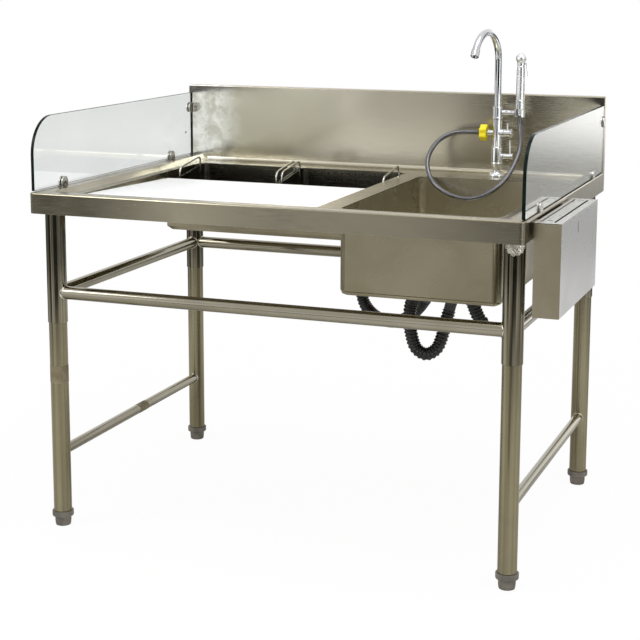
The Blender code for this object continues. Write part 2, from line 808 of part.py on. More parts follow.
back = SHELF_REAR - GAP
bm = bmesh.new()
loft(bm, [
    shelf_ring(BOWL_FLANGE, UNDER_DECK, UNDER_DECK),
    shelf_ring(0, UNDER_DECK, UNDER_DECK),
    shelf_ring(0, shelf_height(back), SHELF_HIGH),
], closed=False)
board_shelf = add_object("board_shelf", bm, (0, 0, 0), STEEL)
solidify(board_shelf, SHEET)
unite(board_shelf, box("shelf_lip", (WELL_LEFT + GAP, back - SHEET, shelf_height(back) - SHEET / 2),
                       (WELL_RIGHT - GAP, back, SHELF_LIP), None, CUTTERS))

# Basket trough: its front wall ends under the shelf

TROUGH_FRONT_TOP = shelf_height(SHELF_REAR) - SHEET - GAP
bm = bmesh.new()


def trough_ring(out, z):
    step = SHELF_REAR - out + TROUGH_STEP
    return [(WELL_LEFT - out, SHELF_REAR - out, z), (WELL_RIGHT + out, SHELF_REAR - out, z),
            (WELL_RIGHT + out, step, z), (WELL_RIGHT + out, WELL_REAR + out, z),
            (WELL_LEFT - out, WELL_REAR + out, z), (WELL_LEFT - out, step, z)]


def trough_edge(out):
    """Front left, rear left, rear right and front right corner of the walls that reach the deck."""
    step = SHELF_REAR + TROUGH_STEP
    return [bm.verts.new((x, y, UNDER_DECK)) for x, y in (
        (WELL_LEFT - out, step), (WELL_LEFT - out, WELL_REAR + out),
        (WELL_RIGHT + out, WELL_REAR + out), (WELL_RIGHT + out, step))]


made = loft(bm, [
    trough_ring(0, TROUGH_FRONT_TOP),
    trough_ring(0, TROUGH_FLOOR + TROUGH_ROUND),
    trough_ring(-TROUGH_ROUND, TROUGH_FLOOR),
])
waist = [made[0][5], made[0][4], made[0][3], made[0][2]]
upper = trough_edge(0)
flange = trough_edge(BOWL_FLANGE)
for low, high in ((waist, upper), (upper, flange)):
    for index in range(3):
        bm.faces.new((low[index], low[index + 1], high[index + 1], high[index]))
bmesh.ops.recalc_face_normals(bm, faces=bm.faces)
if max(bm.faces, key=lambda face: face.calc_area()).normal.z < 0:
    bmesh.ops.reverse_faces(bm, faces=bm.faces)
basket_trough = add_object("basket_trough", bm, (0, 0, 0), STEEL)
solidify(basket_trough, SHEET)
cut(basket_trough, cylinder("outlet_hole_cutter", OUTLET_TOP - Vector((0, 0, BOWL_CORNER)),
                            OUTLET_TOP + Vector((0, 0, BOWL_CORNER)), OUTLET_HOLE, None,
                            collection=CUTTERS))

# Channels under the deck and the leg frame

for name, side in (("left", -1), ("right", 1)):
    outer = side * (RIGHT - CHANNEL_INSET)
    inner = side * (RIGHT - CHANNEL_INSET - CHANNEL_WIDTH)
    low_x, high_x = min(outer, inner), max(outer, inner)
    channel = box("deck_channel_" + name, (low_x, CHANNEL_SETBACK, UNDER_DECK - CHANNEL_DEPTH),
                  (high_x, DEPTH - CHANNEL_SETBACK, UNDER_DECK), STEEL)
    cut(channel, box("channel_cutter_" + name, (low_x + SHEET, 0, UNDER_DECK - 2 * CHANNEL_DEPTH),
                     (high_x - SHEET, DEPTH, UNDER_DECK - SHEET), None, CUTTERS))

LEG_X = RIGHT - LEG_INSET_X
CORNERS = {
    "front_left": (-LEG_X, LEG_INSET_Y),
    "front_right": (LEG_X, LEG_INSET_Y),
    "rear_left": (-LEG_X, DEPTH - LEG_INSET_Y),
    "rear_right": (LEG_X, DEPTH - LEG_INSET_Y),
}
SOCKET_LENGTH = UNDER_DECK - SHEET - GAP - SOCKET_BOTTOM
socket_cutters = {}
for corner, (x, y) in CORNERS.items():
    pipe("leg_socket_" + corner, (x, y, SOCKET_BOTTOM), SOCKET_LENGTH, SOCKET_DIAMETER, SOCKET_WALL,
         TUBE_STEEL)
    socket_cutters[corner] = cylinder(
        "socket_cutter_" + corner, (x, y, UPPER_RAIL_HEIGHT - UPPER_RAIL_DIAMETER),
        (x, y, UPPER_RAIL_HEIGHT + UPPER_RAIL_DIAMETER), SOCKET_DIAMETER + 2 * GAP, None,
        collection=CUTTERS)

for name, first, second in (("front", "front_left", "front_right"), ("rear", "rear_left", "rear_right"),
                            ("left", "front_left", "rear_left"), ("right", "front_right", "rear_right")):
    start, end = (Vector((*CORNERS[corner], UPPER_RAIL_HEIGHT)) for corner in (first, second))
    rail = cylinder("upper_rail_" + name, start, end, UPPER_RAIL_DIAMETER, TUBE_STEEL, SMALL_STEPS,
                    origin=(start + end) / 2)
    for corner in (first, second):
        cut(rail, socket_cutters[corner])

# Lower frames: two legs with a rail welded between them, plugged into the sockets from below

for side in ("left", "right"):
    x, y = CORNERS["front_" + side]
    rear_y = CORNERS["rear_" + side][1]
    leg_length = LEG_TOP - LEG_BOTTOM
    frame = pipe("lower_frame_" + side, (x, y, LEG_BOTTOM), leg_length, LEG_DIAMETER, LEG_WALL, TUBE_STEEL)
    rear_leg = pipe("rear_leg_" + side, (x, rear_y, LEG_BOTTOM), leg_length, LEG_DIAMETER, LEG_WALL, None)
    as_tool(rear_leg)
    lower_rail = cylinder("lower_rail_" + side, (x, y, LOWER_RAIL_HEIGHT), (x, rear_y, LOWER_RAIL_HEIGHT),
                          LOWER_RAIL_DIAMETER, None, SMALL_STEPS, CUTTERS)
    low = LOWER_RAIL_HEIGHT - LOWER_RAIL_DIAMETER
    high = LOWER_RAIL_HEIGHT + LOWER_RAIL_DIAMETER
    for leg_y in (y, rear_y):
        cut(lower_rail, cylinder("leg_bore_cutter_" + side, (x, leg_y, low), (x, leg_y, high),
                                 LEG_DIAMETER - LEG_WALL, None, collection=CUTTERS))
    unite(frame, rear_leg)
    unite(frame, lower_rail)

# Feet: an insert with a bore in each leg, and a foot whose stem turns in it

spigot = LEG_DIAMETER / 2 - LEG_WALL - GAP
stem = FOOT_STEM_DIAMETER / 2
for corner, (x, y) in CORNERS.items():
    turned("foot_insert_" + corner, [
        (spigot, INSERT_HEIGHT + INSERT_SPIGOT), (spigot, INSERT_HEIGHT - GAP),
        (INSERT_DIAMETER / 2, INSERT_HEIGHT - GAP), (INSERT_DIAMETER / 2, 0.0),
        (stem + GAP, 0.0), (stem + GAP, INSERT_HEIGHT + INSERT_SPIGOT),
    ], (x, y, FOOT_HEIGHT), GREY_PLASTIC, SMALL_STEPS, closed=True)
    turned("foot_" + corner, [
        (0.0, FOOT_HEIGHT + FOOT_STEM_LENGTH), (stem, FOOT_HEIGHT + FOOT_STEM_LENGTH),
        (stem, FOOT_HEIGHT - GAP), (FOOT_DIAMETER / 2, FOOT_HEIGHT - GAP),
        (FOOT_DIAMETER / 2, FOOT_CHAMFER), (FOOT_DIAMETER / 2 - FOOT_CHAMFER, 0.0), (0.0, 0.0),
    ], (x, y, 0.0), GREY_PLASTIC, PIN_STEPS)

# Cutting board on its shelf

board_front = WELL_FRONT + BOARD_PLAY
board_foot = shelf_height(board_front) + GAP / math.cos(BOARD_SLOPE)
board_origin = (WELL_LEFT + WELL_WIDTH / 2, board_front, board_foot)
cutting_board = box("cutting_board", (board_origin[0] - BOARD_LENGTH / 2, board_origin[1], board_origin[2]),
                    (board_origin[0] + BOARD_LENGTH / 2, board_origin[1] + BOARD_DEPTH,
                     board_origin[2] + BOARD_THICK), WHITE_PLASTIC, origin=board_origin)
cutting_board.rotation_euler = (-BOARD_SLOPE, 0, 0)
rounding = cutting_board.modifiers.new("edge", "BEVEL")
rounding.width = BOARD_ROUND
rounding.segments = 1

# Baskets: sloping rims, level flanges on the deck and on the shelf's lip, wire handles inside

basket_middle = WELL_LEFT + WELL_WIDTH / 2 + BASKET_SHIFT


def basket_rim(y):
    """Height of the rim: level round the front and rear corners, sloping between them."""
    low = BASKET_FRONT + BASKET_SHEET + BASKET_CORNER
    high = BASKET_REAR - BASKET_SHEET - BASKET_CORNER
    share = min(max((y - low) / (high - low), 0.0), 1.0)
    return BASKET_RIM - BASKET_FALL * (1 - share)


def basket_handle(name, x):
    """A wire loop beside an end wall, its top parallel to the sloping rim."""
    middle = (BASKET_REAR + BASKET_FRONT) / 2
    path = []
    for side, start in ((-1, 180), (1, 90)):
        y = middle + side * HANDLE_LENGTH / 2
        bend = arc((y - side * HANDLE_BEND, -HANDLE_BEND), HANDLE_BEND, start, start - 90, 3)
        bend = [(x, b, basket_rim(b) + HANDLE_RISE + c) for b, c in bend]
        leg = (x, y, basket_rim(y) - HANDLE_LEG)
        path += [leg, *bend] if side < 0 else [*bend, leg]
    return tube_along(name, path, HANDLE_WIRE, None, 1, collection=CUTTERS)


for name, side in (("left", -1), ("right", 1)):
    middle = basket_middle + side * (BASKET_LENGTH + BASKET_SPACING) / 2
    x0 = middle - BASKET_LENGTH / 2 + BASKET_SHEET
    x1 = middle + BASKET_LENGTH / 2 - BASKET_SHEET
    y0 = BASKET_FRONT + BASKET_SHEET
    y1 = BASKET_REAR - BASKET_SHEET
    bottom = BASKET_RIM - BASKET_DEPTH
    wall = [Vector((x, y, basket_rim(y)))
            for x, y, z in rounded_rectangle(x0, x1, y0, y1, BASKET_CORNER, 0.0)]
    lip = rounded_rectangle(x0 - BASKET_LIP, x1 + BASKET_LIP, y0 - BASKET_FLANGE, y1 + BASKET_FLANGE,
                            BASKET_CORNER + BASKET_LIP, 0.0)
    lip = [Vector((x, y, point.z)) for (x, y, z), point in zip(lip, wall)]
    bm = bmesh.new()
    loft(bm, [
        lip,
        wall,
        rounded_rectangle(x0, x1, y0, y1, BASKET_CORNER, bottom + BASKET_BOTTOM_ROUND),
        rounded_rectangle(x0 + BASKET_BOTTOM_ROUND, x1 - BASKET_BOTTOM_ROUND, y0 + BASKET_BOTTOM_ROUND,
                          y1 - BASKET_BOTTOM_ROUND, BASKET_CORNER - BASKET_BOTTOM_ROUND, bottom),
    ])
    basket = add_object("basket_" + name, bm, (0, 0, 0), STEEL)
    solidify(basket, BASKET_SHEET)
    bm = bmesh.new()
    for column in range(HOLE_COLUMNS):
        x = middle + (column - (HOLE_COLUMNS - 1) / 2) * HOLE_PITCH
        for row in range(HOLE_ROWS):
            drop = HOLE_TOP + row * HOLE_ROW_PITCH
            ends = [(x, y, basket_rim(y) - drop) for y in (y0 - 2 * BASKET_PLAY, y1 + 2 * BASKET_PLAY)]
            cylinder_mesh(bm, ends[0], ends[1], HOLE_DIAMETER / 2, HOLE_SIDES)
    for column in range(BOTTOM_HOLE_COLUMNS):
        x = middle + (column - (BOTTOM_HOLE_COLUMNS - 1) / 2) * BOTTOM_HOLE_PITCH
        for row in range(BOTTOM_HOLE_ROWS):
            y = (y0 + y1) / 2 + (row - (BOTTOM_HOLE_ROWS - 1) / 2) * BOTTOM_HOLE_PITCH
            cylinder_mesh(bm, (x, y, bottom - BASKET_PLAY), (x, y, bottom + BASKET_PLAY),
                          HOLE_DIAMETER / 2, HOLE_SIDES)
    cut(basket, add_object("hole_cutter_" + name, bm, (0, 0, 0), None, CUTTERS))
    reach = BASKET_LENGTH / 2 - BASKET_SHEET - HANDLE_WIRE / 2 + HANDLE_WELD
    unite(basket, basket_handle("first_handle_" + name, middle - reach))
    unite(basket, basket_handle("second_handle_" + name, middle + reach))

# Glass side screens and their clamps

CLAMP_THICK = GLASS_THICK + 2 * CLAMP_JAW


def clamp_outline(steps=8):
    """The clamp's outline, standing on its base line: distance along the edge, height."""
    radius = CLAMP_WIDTH / 2
    return [(-radius, 0.0), (radius, 0.0), *arc((0.0, CLAMP_HEIGHT - radius), radius, 0, 180, steps)]


for name, side in (("left", -1), ("right", 1)):
    outer = side * (RIGHT - GLASS_INSET)
    middle = outer - side * GLASS_THICK / 2
    low = RIM_HEIGHT + GLASS_LIFT
    high = RIM_HEIGHT + GLASS_LIFT + GLASS_HEIGHT
    glass_rear = SPLASH_FACE - GLASS_LIFT
    outline = [(glass_rear, low), (glass_rear, high),
               *arc((GLASS_FRONT + GLASS_RADIUS, high - GLASS_RADIUS), GLASS_RADIUS, 90, 180, 8),
               (GLASS_FRONT, low)]
    glass = prism("glass_" + name, [(middle - GLASS_THICK / 2, y, z) for y, z in outline],
                  (GLASS_THICK, 0, 0), GLASS, PARTS)
    slot = box("clamp_slot_cutter_" + name, (middle - GLASS_THICK / 2 - GAP, 0, low - GAP),
               (middle + GLASS_THICK / 2 + GAP, glass_rear + GAP, high + GLASS_LIFT), None, CUTTERS)
    screw_height = CLAMP_HEIGHT - CLAMP_WIDTH / 2
    for place, y in (("front", CLAMP_FRONT), ("rear", CLAMP_REAR), ("splash", None)):
        if y is None:
            shape = [(SPLASH_FACE - GAP - b, CLAMP_SPLASH_HEIGHT + a) for a, b in clamp_outline()]
            screw = (SPLASH_FACE - GAP - screw_height, CLAMP_SPLASH_HEIGHT)
        else:
            shape = [(y + a, RIM_HEIGHT + GAP + b) for a, b in clamp_outline()]
            screw = (y, RIM_HEIGHT + GAP + screw_height)
        shape = [(middle - CLAMP_THICK / 2, a, b) for a, b in shape]
        clamp = prism("glass_clamp_" + name + "_" + place, shape, (CLAMP_THICK, 0, 0), CHROME, PARTS)
        face = middle - side * (CLAMP_THICK / 2 - CLAMP_JAW / 2)
        head = face - side * (CLAMP_JAW / 2 + CLAMP_SCREW_PROUD)
        unite(clamp, cylinder("clamp_screw_" + name + "_" + place, (face, *screw), (head, *screw),
                              CLAMP_SCREW, None, PIN_STEPS, CUTTERS))
        cut(clamp, slot)

# Knife box on the right apron

box_left = RIGHT + KNIFE_BOX_SPACER
box_right = box_left + KNIFE_BOX_WIDTH
box_rear = KNIFE_BOX_FRONT + KNIFE_BOX_LENGTH
box_floor = KNIFE_BOX_TOP - KNIFE_BOX_HEIGHT
plate_bottom = KNIFE_BOX_TOP - KNIFE_BOX_SHEET


def knife_ring(inset, z):
    inset += KNIFE_BOX_SHEET
    return [(box_left + inset, KNIFE_BOX_FRONT + inset, z), (box_right - inset, KNIFE_BOX_FRONT + inset, z),
            (box_right - inset, box_rear - inset, z), (box_left + inset, box_rear - inset, z)]


bm = bmesh.new()
loft(bm, [
    knife_ring(0, plate_bottom - GAP),
    knife_ring(0, box_floor + 2 * KNIFE_BOX_SHEET),
    knife_ring(KNIFE_BOX_SHEET, box_floor + KNIFE_BOX_SHEET),
])
knife_box_shell = add_object("knife_box_shell", bm, (0, 0, 0), STEEL)
solidify(knife_box_shell, KNIFE_BOX_SHEET)
knife_box_top = box("knife_box_top", (box_left, KNIFE_BOX_FRONT, plate_bottom),
                    (box_right, box_rear, KNIFE_BOX_TOP), STEEL)
bm = bmesh.new()
low = plate_bottom - KNIFE_BOX_SHEET
high = KNIFE_BOX_TOP + KNIFE_BOX_SHEET
wide = box_left + WIDE_SLOT_PLACE
narrow = box_left + NARROW_SLOT_PLACE
box_mesh(bm, (wide - WIDE_SLOT / 2, KNIFE_BOX_FRONT + SLOT_END, low),
         (wide + WIDE_SLOT / 2, box_rear - SLOT_END, high))
box_mesh(bm, (narrow - NARROW_SLOT / 2, KNIFE_BOX_FRONT + SLOT_END, low),
         (narrow + NARROW_SLOT / 2, box_rear - SLOT_END, high))
across = (wide + narrow) / 2
for y in (KNIFE_BOX_FRONT + 2 * SLOT_END, box_rear - SLOT_END - WIDE_SLOT):
    box_mesh(bm, (across - SHORT_SLOT / 2, y - WIDE_SLOT / 2, low),
             (across + SHORT_SLOT / 2, y + WIDE_SLOT / 2, high))
cut(knife_box_top, add_object("knife_slot_cutter", bm, (0, 0, 0), None, CUTTERS))
for place, y in (("front", KNIFE_BOX_FRONT + SPACER_PLACE), ("rear", box_rear - SPACER_PLACE)):
    low = RIM_HEIGHT - APRON_HEIGHT + SPACER_LIFT
    high = low + SPACER_HEIGHT
    unite(knife_box_shell, box("spacer_" + place, (RIGHT + GAP, y - SPACER_LENGTH / 2, low),
                               (box_left + KNIFE_BOX_SHEET / 2, y + SPACER_LENGTH / 2, high), None, CUTTERS))

# Tap: everything is placed from the middle of its foot on the deck


def at_tap(x, y, z):
    return TAP_BASE + Vector((x, y, z))


neck = TAP_NECK_DIAMETER / 2
turned("tap_base_flange", [
    (TAP_FLANGE_TOP_DIAMETER / 2, TAP_FLANGE_HEIGHT), (TAP_FLANGE_BEND_DIAMETER / 2, TAP_FLANGE_BEND),
    (TAP_FLANGE_DIAMETER / 2, TAP_FLANGE_EDGE), (TAP_FLANGE_DIAMETER / 2, 0.0),
    (neck + GAP, 0.0), (neck + GAP, TAP_FLANGE_HEIGHT),
], at_tap(0, 0, GAP), CHROME, FINE_STEPS, closed=True)

body = TAP_BODY_DIAMETER / 2
ring = TAP_RING_DIAMETER / 2
barrel = TAP_BARREL_DIAMETER / 2
shoulder = TAP_SHOULDER_DIAMETER / 2
ring_top = TAP_RING + TAP_RING_HEIGHT
shank = SHANK_DIAMETER / 2
tap_body = turned("tap_body", [
    (0.0, TAP_BODY_TOP), (body, TAP_BODY_TOP), (body, ring_top), (ring, ring_top), (ring, TAP_RING),
    (barrel, TAP_RING), (barrel, TAP_SHOULDER + EDGE_ROUND), (shoulder, TAP_SHOULDER),
    (TAP_WAIST_DIAMETER / 2, TAP_WAIST), (neck, TAP_FLANGE_HEIGHT), (neck, 0.0), (shank, 0.0),
    (shank, -SHANK_LENGTH), (0.0, -SHANK_LENGTH),
], TAP_BASE, CHROME, FINE_STEPS)
for name, height, diameter in (("main", MAIN_TAP_HEIGHT, MAIN_TAP_DIAMETER),
                               ("spray", SPRAY_TAP_HEIGHT, SPRAY_TAP_DIAMETER)):
    unite(tap_body, cylinder(name + "_boss", at_tap(0, 0, height), at_tap(TAP_BOSS_REACH, 0, height),
                             diameter, None, SMALL_STEPS, CUTTERS))
unite(tap_body, cylinder("hose_port", at_tap(0, 0, SPRAY_TAP_HEIGHT),
                         at_tap(-HOSE_PORT_REACH, 0, SPRAY_TAP_HEIGHT), HOSE_PORT_DIAMETER, None,
                         SMALL_STEPS, CUTTERS))
nipple_end = -HOSE_PORT_REACH - HOSE_NIPPLE_LENGTH
unite(tap_body, cylinder("hose_nipple", at_tap(-body / 2, 0, SPRAY_TAP_HEIGHT),
                         at_tap(nipple_end, 0, SPRAY_TAP_HEIGHT), HOSE_NIPPLE_DIAMETER, None, PIN_STEPS,
                         CUTTERS))
for name, height in (("main", MAIN_TAP_HEIGHT), ("spray", SPRAY_TAP_HEIGHT)):
    cut(tap_body, cylinder(name + "_stem_cutter", at_tap(TAP_BOSS_REACH - TAP_STEM_LENGTH - GAP, 0, height),
                           at_tap(2 * TAP_BOSS_REACH, 0, height), TAP_STEM_DIAMETER + 2 * GAP, None,
                           SMALL_STEPS, CUTTERS))


def tap_handle(name, height, diameter, length, pin_place, pin_rise):
    """A round knob that turns about +X, with a pin for a handle and a stem in the tap's body."""
    stem = TAP_STEM_DIAMETER / 2
    knob = diameter / 2
    cap = knob + TAP_CAP_LIP
    place = at_tap(TAP_BOSS_REACH + GAP, 0, height)
    handle = turned(name, [
        (0.0, length), (cap, length), (cap, length - TAP_CAP_THICK),
        (knob, length - TAP_CAP_THICK - TAP_CAP_LIP),
        (knob, 0.0), (stem, 0.0), (stem, -TAP_STEM_LENGTH), (0.0, -TAP_STEM_LENGTH),
    ], place, CHROME, SMALL_STEPS)
    handle.rotation_euler = (0, math.radians(90), 0)
    foot = place + Vector((pin_place, 0, 0))
    unite(handle, cylinder(name + "_pin", foot, foot + Vector((0, 0, pin_rise)), TAP_PIN_DIAMETER, None,
                           PIN_STEPS, CUTTERS))
    return handle


tap_handle("main_tap_handle", MAIN_TAP_HEIGHT, MAIN_TAP_DIAMETER, MAIN_TAP_LENGTH, MAIN_PIN_PLACE,
           MAIN_PIN_RISE)
tap_handle("spray_tap_handle", SPRAY_TAP_HEIGHT, SPRAY_TAP_DIAMETER, SPRAY_TAP_LENGTH, SPRAY_PIN_PLACE,
           SPRAY_PIN_RISE)

# Lobed nut that holds the shower hose, turning about +X

nut_place = at_tap(-HOSE_PORT_REACH - GAP - HOSE_NUT_THICK / 2, 0, SPRAY_TAP_HEIGHT)
lobes = []
for step in range(HOSE_NUT_LOBES * LOBE_STEPS):
    angle = math.tau * step / (HOSE_NUT_LOBES * LOBE_STEPS)
    radius = HOSE_NUT_DIAMETER / 2 + HOSE_NUT_LOBE * math.cos(HOSE_NUT_LOBES * angle)
    lobes.append((radius * math.cos(angle), radius * math.sin(angle)))
hose_nut = outline_solid("hose_nut", lobes, HOSE_NUT_THICK, nut_place, (0, math.radians(90), 0),
                         YELLOW_PLASTIC, HOSE_NUT_LOBE)
nut_left = nut_place - Vector((HOSE_NUT_THICK / 2, 0, 0))
hose_start = at_tap(nipple_end - GAP, 0, SPRAY_TAP_HEIGHT)
cut(hose_nut, cylinder("nipple_cutter", nut_left, nut_place + Vector((HOSE_NUT_THICK, 0, 0)),
                       HOSE_NIPPLE_DIAMETER + 2 * GAP, None, PIN_STEPS, CUTTERS))
cut(hose_nut, cylinder("hose_end_cutter", nut_left - Vector((HOSE_NUT_DISH, 0, 0)), hose_start,
                       SHOWER_HOSE_DIAMETER + 2 * HOSE_END_PLAY, None, PIN_STEPS, CUTTERS))
bm = bmesh.new()
cylinder_mesh(bm, nut_left - Vector((HOSE_NUT_DISH, 0, 0)), nut_left + Vector((HOSE_NUT_DISH, 0, 0)),
              DISH_DIAMETER / 2, FINE_STEPS, DISH_FLOOR_DIAMETER / 2)
cut(hose_nut, add_object("dish_cutter", bm, (0, 0, 0), None, CUTTERS))

# Holder: collar round the spout, arm and cup of the hand sprayer

holder_z = TAP_BODY_TOP + HOLDER_ARM_RISE
holder = cylinder("spray_holder", at_tap(0, 0, TAP_BODY_TOP + GAP),
                  at_tap(0, 0, TAP_BODY_TOP + GAP + COLLAR_HEIGHT), COLLAR_DIAMETER, CHROME)
cup_low = at_tap(HOLDER_REACH, 0, holder_z - CUP_HEIGHT / 2)
cup_high = at_tap(HOLDER_REACH, 0, holder_z + CUP_HEIGHT / 2)
unite(holder, cylinder("holder_arm", at_tap(0, 0, holder_z), at_tap(HOLDER_REACH, 0, holder_z),
                       HOLDER_ARM_DIAMETER, None, SMALL_STEPS, CUTTERS))
unite(holder, cylinder("holder_cup", cup_low, cup_high, CUP_DIAMETER, None, collection=CUTTERS))
cut(holder, cylinder("spout_seat_cutter", at_tap(0, 0, TAP_BODY_TOP - COLLAR_HEIGHT),
                     at_tap(0, 0, TAP_BODY_TOP + 2 * COLLAR_HEIGHT), SPOUT_DIAMETER + 2 * GAP, None,
                     collection=CUTTERS))
cut(holder, cylinder("cup_cutter", cup_low - Vector((0, 0, CUP_HEIGHT)),
                     cup_high + Vector((0, 0, CUP_HEIGHT)), CUP_BORE, None, collection=CUTTERS))
cut(holder, box("cup_slot_cutter", cup_low + Vector((-CUP_SLOT / 2, -CUP_DIAMETER, -CUP_HEIGHT)),
                cup_high + Vector((CUP_SLOT / 2, 0, CUP_HEIGHT)), None, CUTTERS))

# Spout: an arch that turns about the tap's axis, with the aerator on its end

spout_foot = at_tap(0, 0, TAP_BODY_TOP + GAP)
spout_way = Vector((-math.sin(math.radians(SPOUT_TURN)), -math.cos(math.radians(SPOUT_TURN)), 0))


def spout_point(angle):
    turn = math.radians(angle)
    return (spout_foot + Vector((0, 0, SPOUT_STRAIGHT + SPOUT_RADIUS * math.sin(turn)))
            + spout_way * (SPOUT_RADIUS - SPOUT_RADIUS * math.cos(turn)))


path = [spout_foot] + [spout_point(SPOUT_SWEEP * step / SPOUT_STEPS) for step in range(SPOUT_STEPS + 1)]
spout_end_way = (path[-1] - path[-2]).normalized()
spout = tube_along("spout", path, SPOUT_DIAMETER, CHROME, 4, origin=spout_foot)
bore_path = [path[0] - Vector((0, 0, SPOUT_DIAMETER)), *path[1:-1],
             path[-1] + spout_end_way * SPOUT_DIAMETER]
cut(spout, tube_along("spout_bore", bore_path, SPOUT_DIAMETER - 2 * SPOUT_WALL, None,
                      collection=CUTTERS))

tip = AERATOR_DIAMETER / 2
inside = SPOUT_DIAMETER / 2 - SPOUT_WALL
low = AERATOR_OVERLAP - AERATOR_LENGTH
aerator = turned("aerator", [
    (tip, AERATOR_OVERLAP), (tip, low + EDGE_ROUND / 2), (tip - EDGE_ROUND / 2, low),
    (inside + SPOUT_WALL / 2, low), (inside + SPOUT_WALL / 2, low + EDGE_ROUND),
    (inside - SPOUT_WALL, low + EDGE_ROUND), (inside - SPOUT_WALL, -GAP),
    (SPOUT_DIAMETER / 2 + GAP, -GAP), (SPOUT_DIAMETER / 2 + GAP, AERATOR_OVERLAP),
], path[-1], CHROME, SMALL_STEPS, closed=True)
aerator.rotation_euler = Vector((0, 0, -1)).rotation_difference(spout_end_way).to_euler()

nut_top = at_tap(0, 0, UNDER_DECK - DECK)
shank_nut = cylinder("tap_shank_nut", nut_top - Vector((0, 0, SHANK_NUT_THICK)), nut_top,
                     SHANK_NUT_ACROSS / math.cos(math.radians(30)), CHROME, 6)
cut(shank_nut, cylinder("shank_nut_cutter", nut_top - Vector((0, 0, 2 * SHANK_NUT_THICK)),
                        nut_top + Vector((0, 0, SHANK_NUT_THICK)), SHANK_DIAMETER + 2 * GAP, None,
                        FINE_STEPS, CUTTERS))

# Hand sprayer, standing in the cup

spray_foot = cup_high - Vector((0, 0, SPRAY_STEM_IN_CUP))
ball = SPRAY_BALL_DIAMETER / 2
grip = SPRAY_GRIP_DIAMETER / 2
throat = SPRAY_NECK_DIAMETER / 2
stem = SPRAY_STEM_DIAMETER / 2
grip_top = SPRAY_STEM_LENGTH + SPRAY_GRIP_LENGTH
neck_top = grip_top + SPRAY_NECK_LENGTH
ball_middle = neck_top + math.sqrt(ball ** 2 - throat ** 2)
ball_points = [(ball * math.cos(math.radians(angle)), ball_middle + ball * math.sin(math.radians(angle)))
               for angle in (65, 40, 15, -10, -30)]
turned("spray_body", [
    (0.0, ball_middle + ball), *ball_points, (throat, neck_top), (throat, grip_top),
    (grip, SPRAY_STEM_LENGTH + EDGE_ROUND), (grip, SPRAY_STEM_LENGTH), (stem, SPRAY_STEM_LENGTH),
    (stem, EDGE_ROUND), (stem - EDGE_ROUND / 2, 0.0), (0.0, 0.0),
], spray_foot, CHROME, FINE_STEPS)
nut = SPRAY_NUT_DIAMETER / 2
nut_low = SPRAY_STEM_IN_CUP + GAP
nut_high = SPRAY_STEM_LENGTH - GAP
turned("spray_nut", [
    (nut - EDGE_ROUND / 3, nut_high), (nut, nut_high - EDGE_ROUND), (nut, nut_low + EDGE_ROUND),
    (nut - EDGE_ROUND / 3, nut_low), (stem + GAP, nut_low), (stem + GAP, nut_high),
], spray_foot, CHROME, SMALL_STEPS, closed=True)
knuckle = SPRAY_KNUCKLE / 2
lever_place = spray_foot + Vector((throat + GAP + knuckle, 0, neck_top - knuckle))
lever = cylinder("spray_lever", lever_place - Vector((0, SPRAY_LEVER_WIDTH / 2, 0)),
                 lever_place + Vector((0, SPRAY_LEVER_WIDTH / 2, 0)), SPRAY_KNUCKLE, CHROME, PIN_STEPS,
                 origin=lever_place)
plate_side = SPRAY_LEVER_WIDTH / 2 + GAP
plate = box("lever_plate",
            lever_place + Vector((knuckle - SPRAY_LEVER_THICK, -plate_side, -SPRAY_LEVER_LENGTH)),
            lever_place + Vector((knuckle, plate_side, 0)), None, CUTTERS, lever_place)
plate.rotation_euler = (0, -math.radians(SPRAY_LEVER_TILT), 0)
unite(lever, plate)

# Shower hose

hose_end = spray_foot - Vector((0, 0, GAP))
route = [hose_start, hose_start - Vector((SHOWER_HOSE_STRAIGHT, 0, 0)),
         *[at_tap(*offset) for offset in SHOWER_ROUTE],
         hose_end - Vector((0, 0, SHOWER_HOSE_STRAIGHT)), hose_end]
tube_along("shower_hose", smooth_route(route, SHOWER_HOSE_STEP), SHOWER_HOSE_DIAMETER, CHROME)

# Waste of the bowl


def at_waste(x, y, z):
    return WASTE_TOP + Vector((x, y, z))


wide = WASTE_FLANGE_DIAMETER / 2
tube = WASTE_NECK_DIAMETER / 2
turned("waste_flange", [
    (wide, WASTE_FLANGE_THICK), (wide, 0.0), (tube, 0.0), (tube, -WASTE_NECK_LENGTH),
    (tube - WASTE_WALL, -WASTE_NECK_LENGTH), (tube - WASTE_WALL, WASTE_FLANGE_THICK),
], at_waste(0, 0, GAP), STEEL, SMALL_STEPS, closed=True)
rim = STRAINER_RIM / 2
sieve = STRAINER_DIAMETER / 2
knob = STRAINER_KNOB / 2
turned("waste_strainer", [
    (0.0, knob), (knob, knob), (knob, STRAINER_SHEET - STRAINER_DEPTH),
    (sieve - STRAINER_SHEET, STRAINER_SHEET - STRAINER_DEPTH),
    (sieve - STRAINER_SHEET, STRAINER_SHEET), (rim, STRAINER_SHEET), (rim, 0.0),
    (sieve, 0.0), (sieve, -STRAINER_DEPTH), (0.0, -STRAINER_DEPTH),
], at_waste(0, 0, WASTE_FLANGE_THICK + 2 * GAP), STEEL, SMALL_STEPS)
collar = WASTE_COLLAR_DIAMETER / 2
cup = WASTE_BODY_DIAMETER / 2
waste_body = turned("waste_body", [
    (0.0, 0.0), (collar, 0.0), (collar, -WASTE_COLLAR_THICK), (cup, -WASTE_COLLAR_THICK),
    (cup, -WASTE_BODY_DEPTH), (0.0, -WASTE_BODY_DEPTH),
], at_waste(0, 0, -SHEET - GAP), BLACK_PLASTIC, SMALL_STEPS)


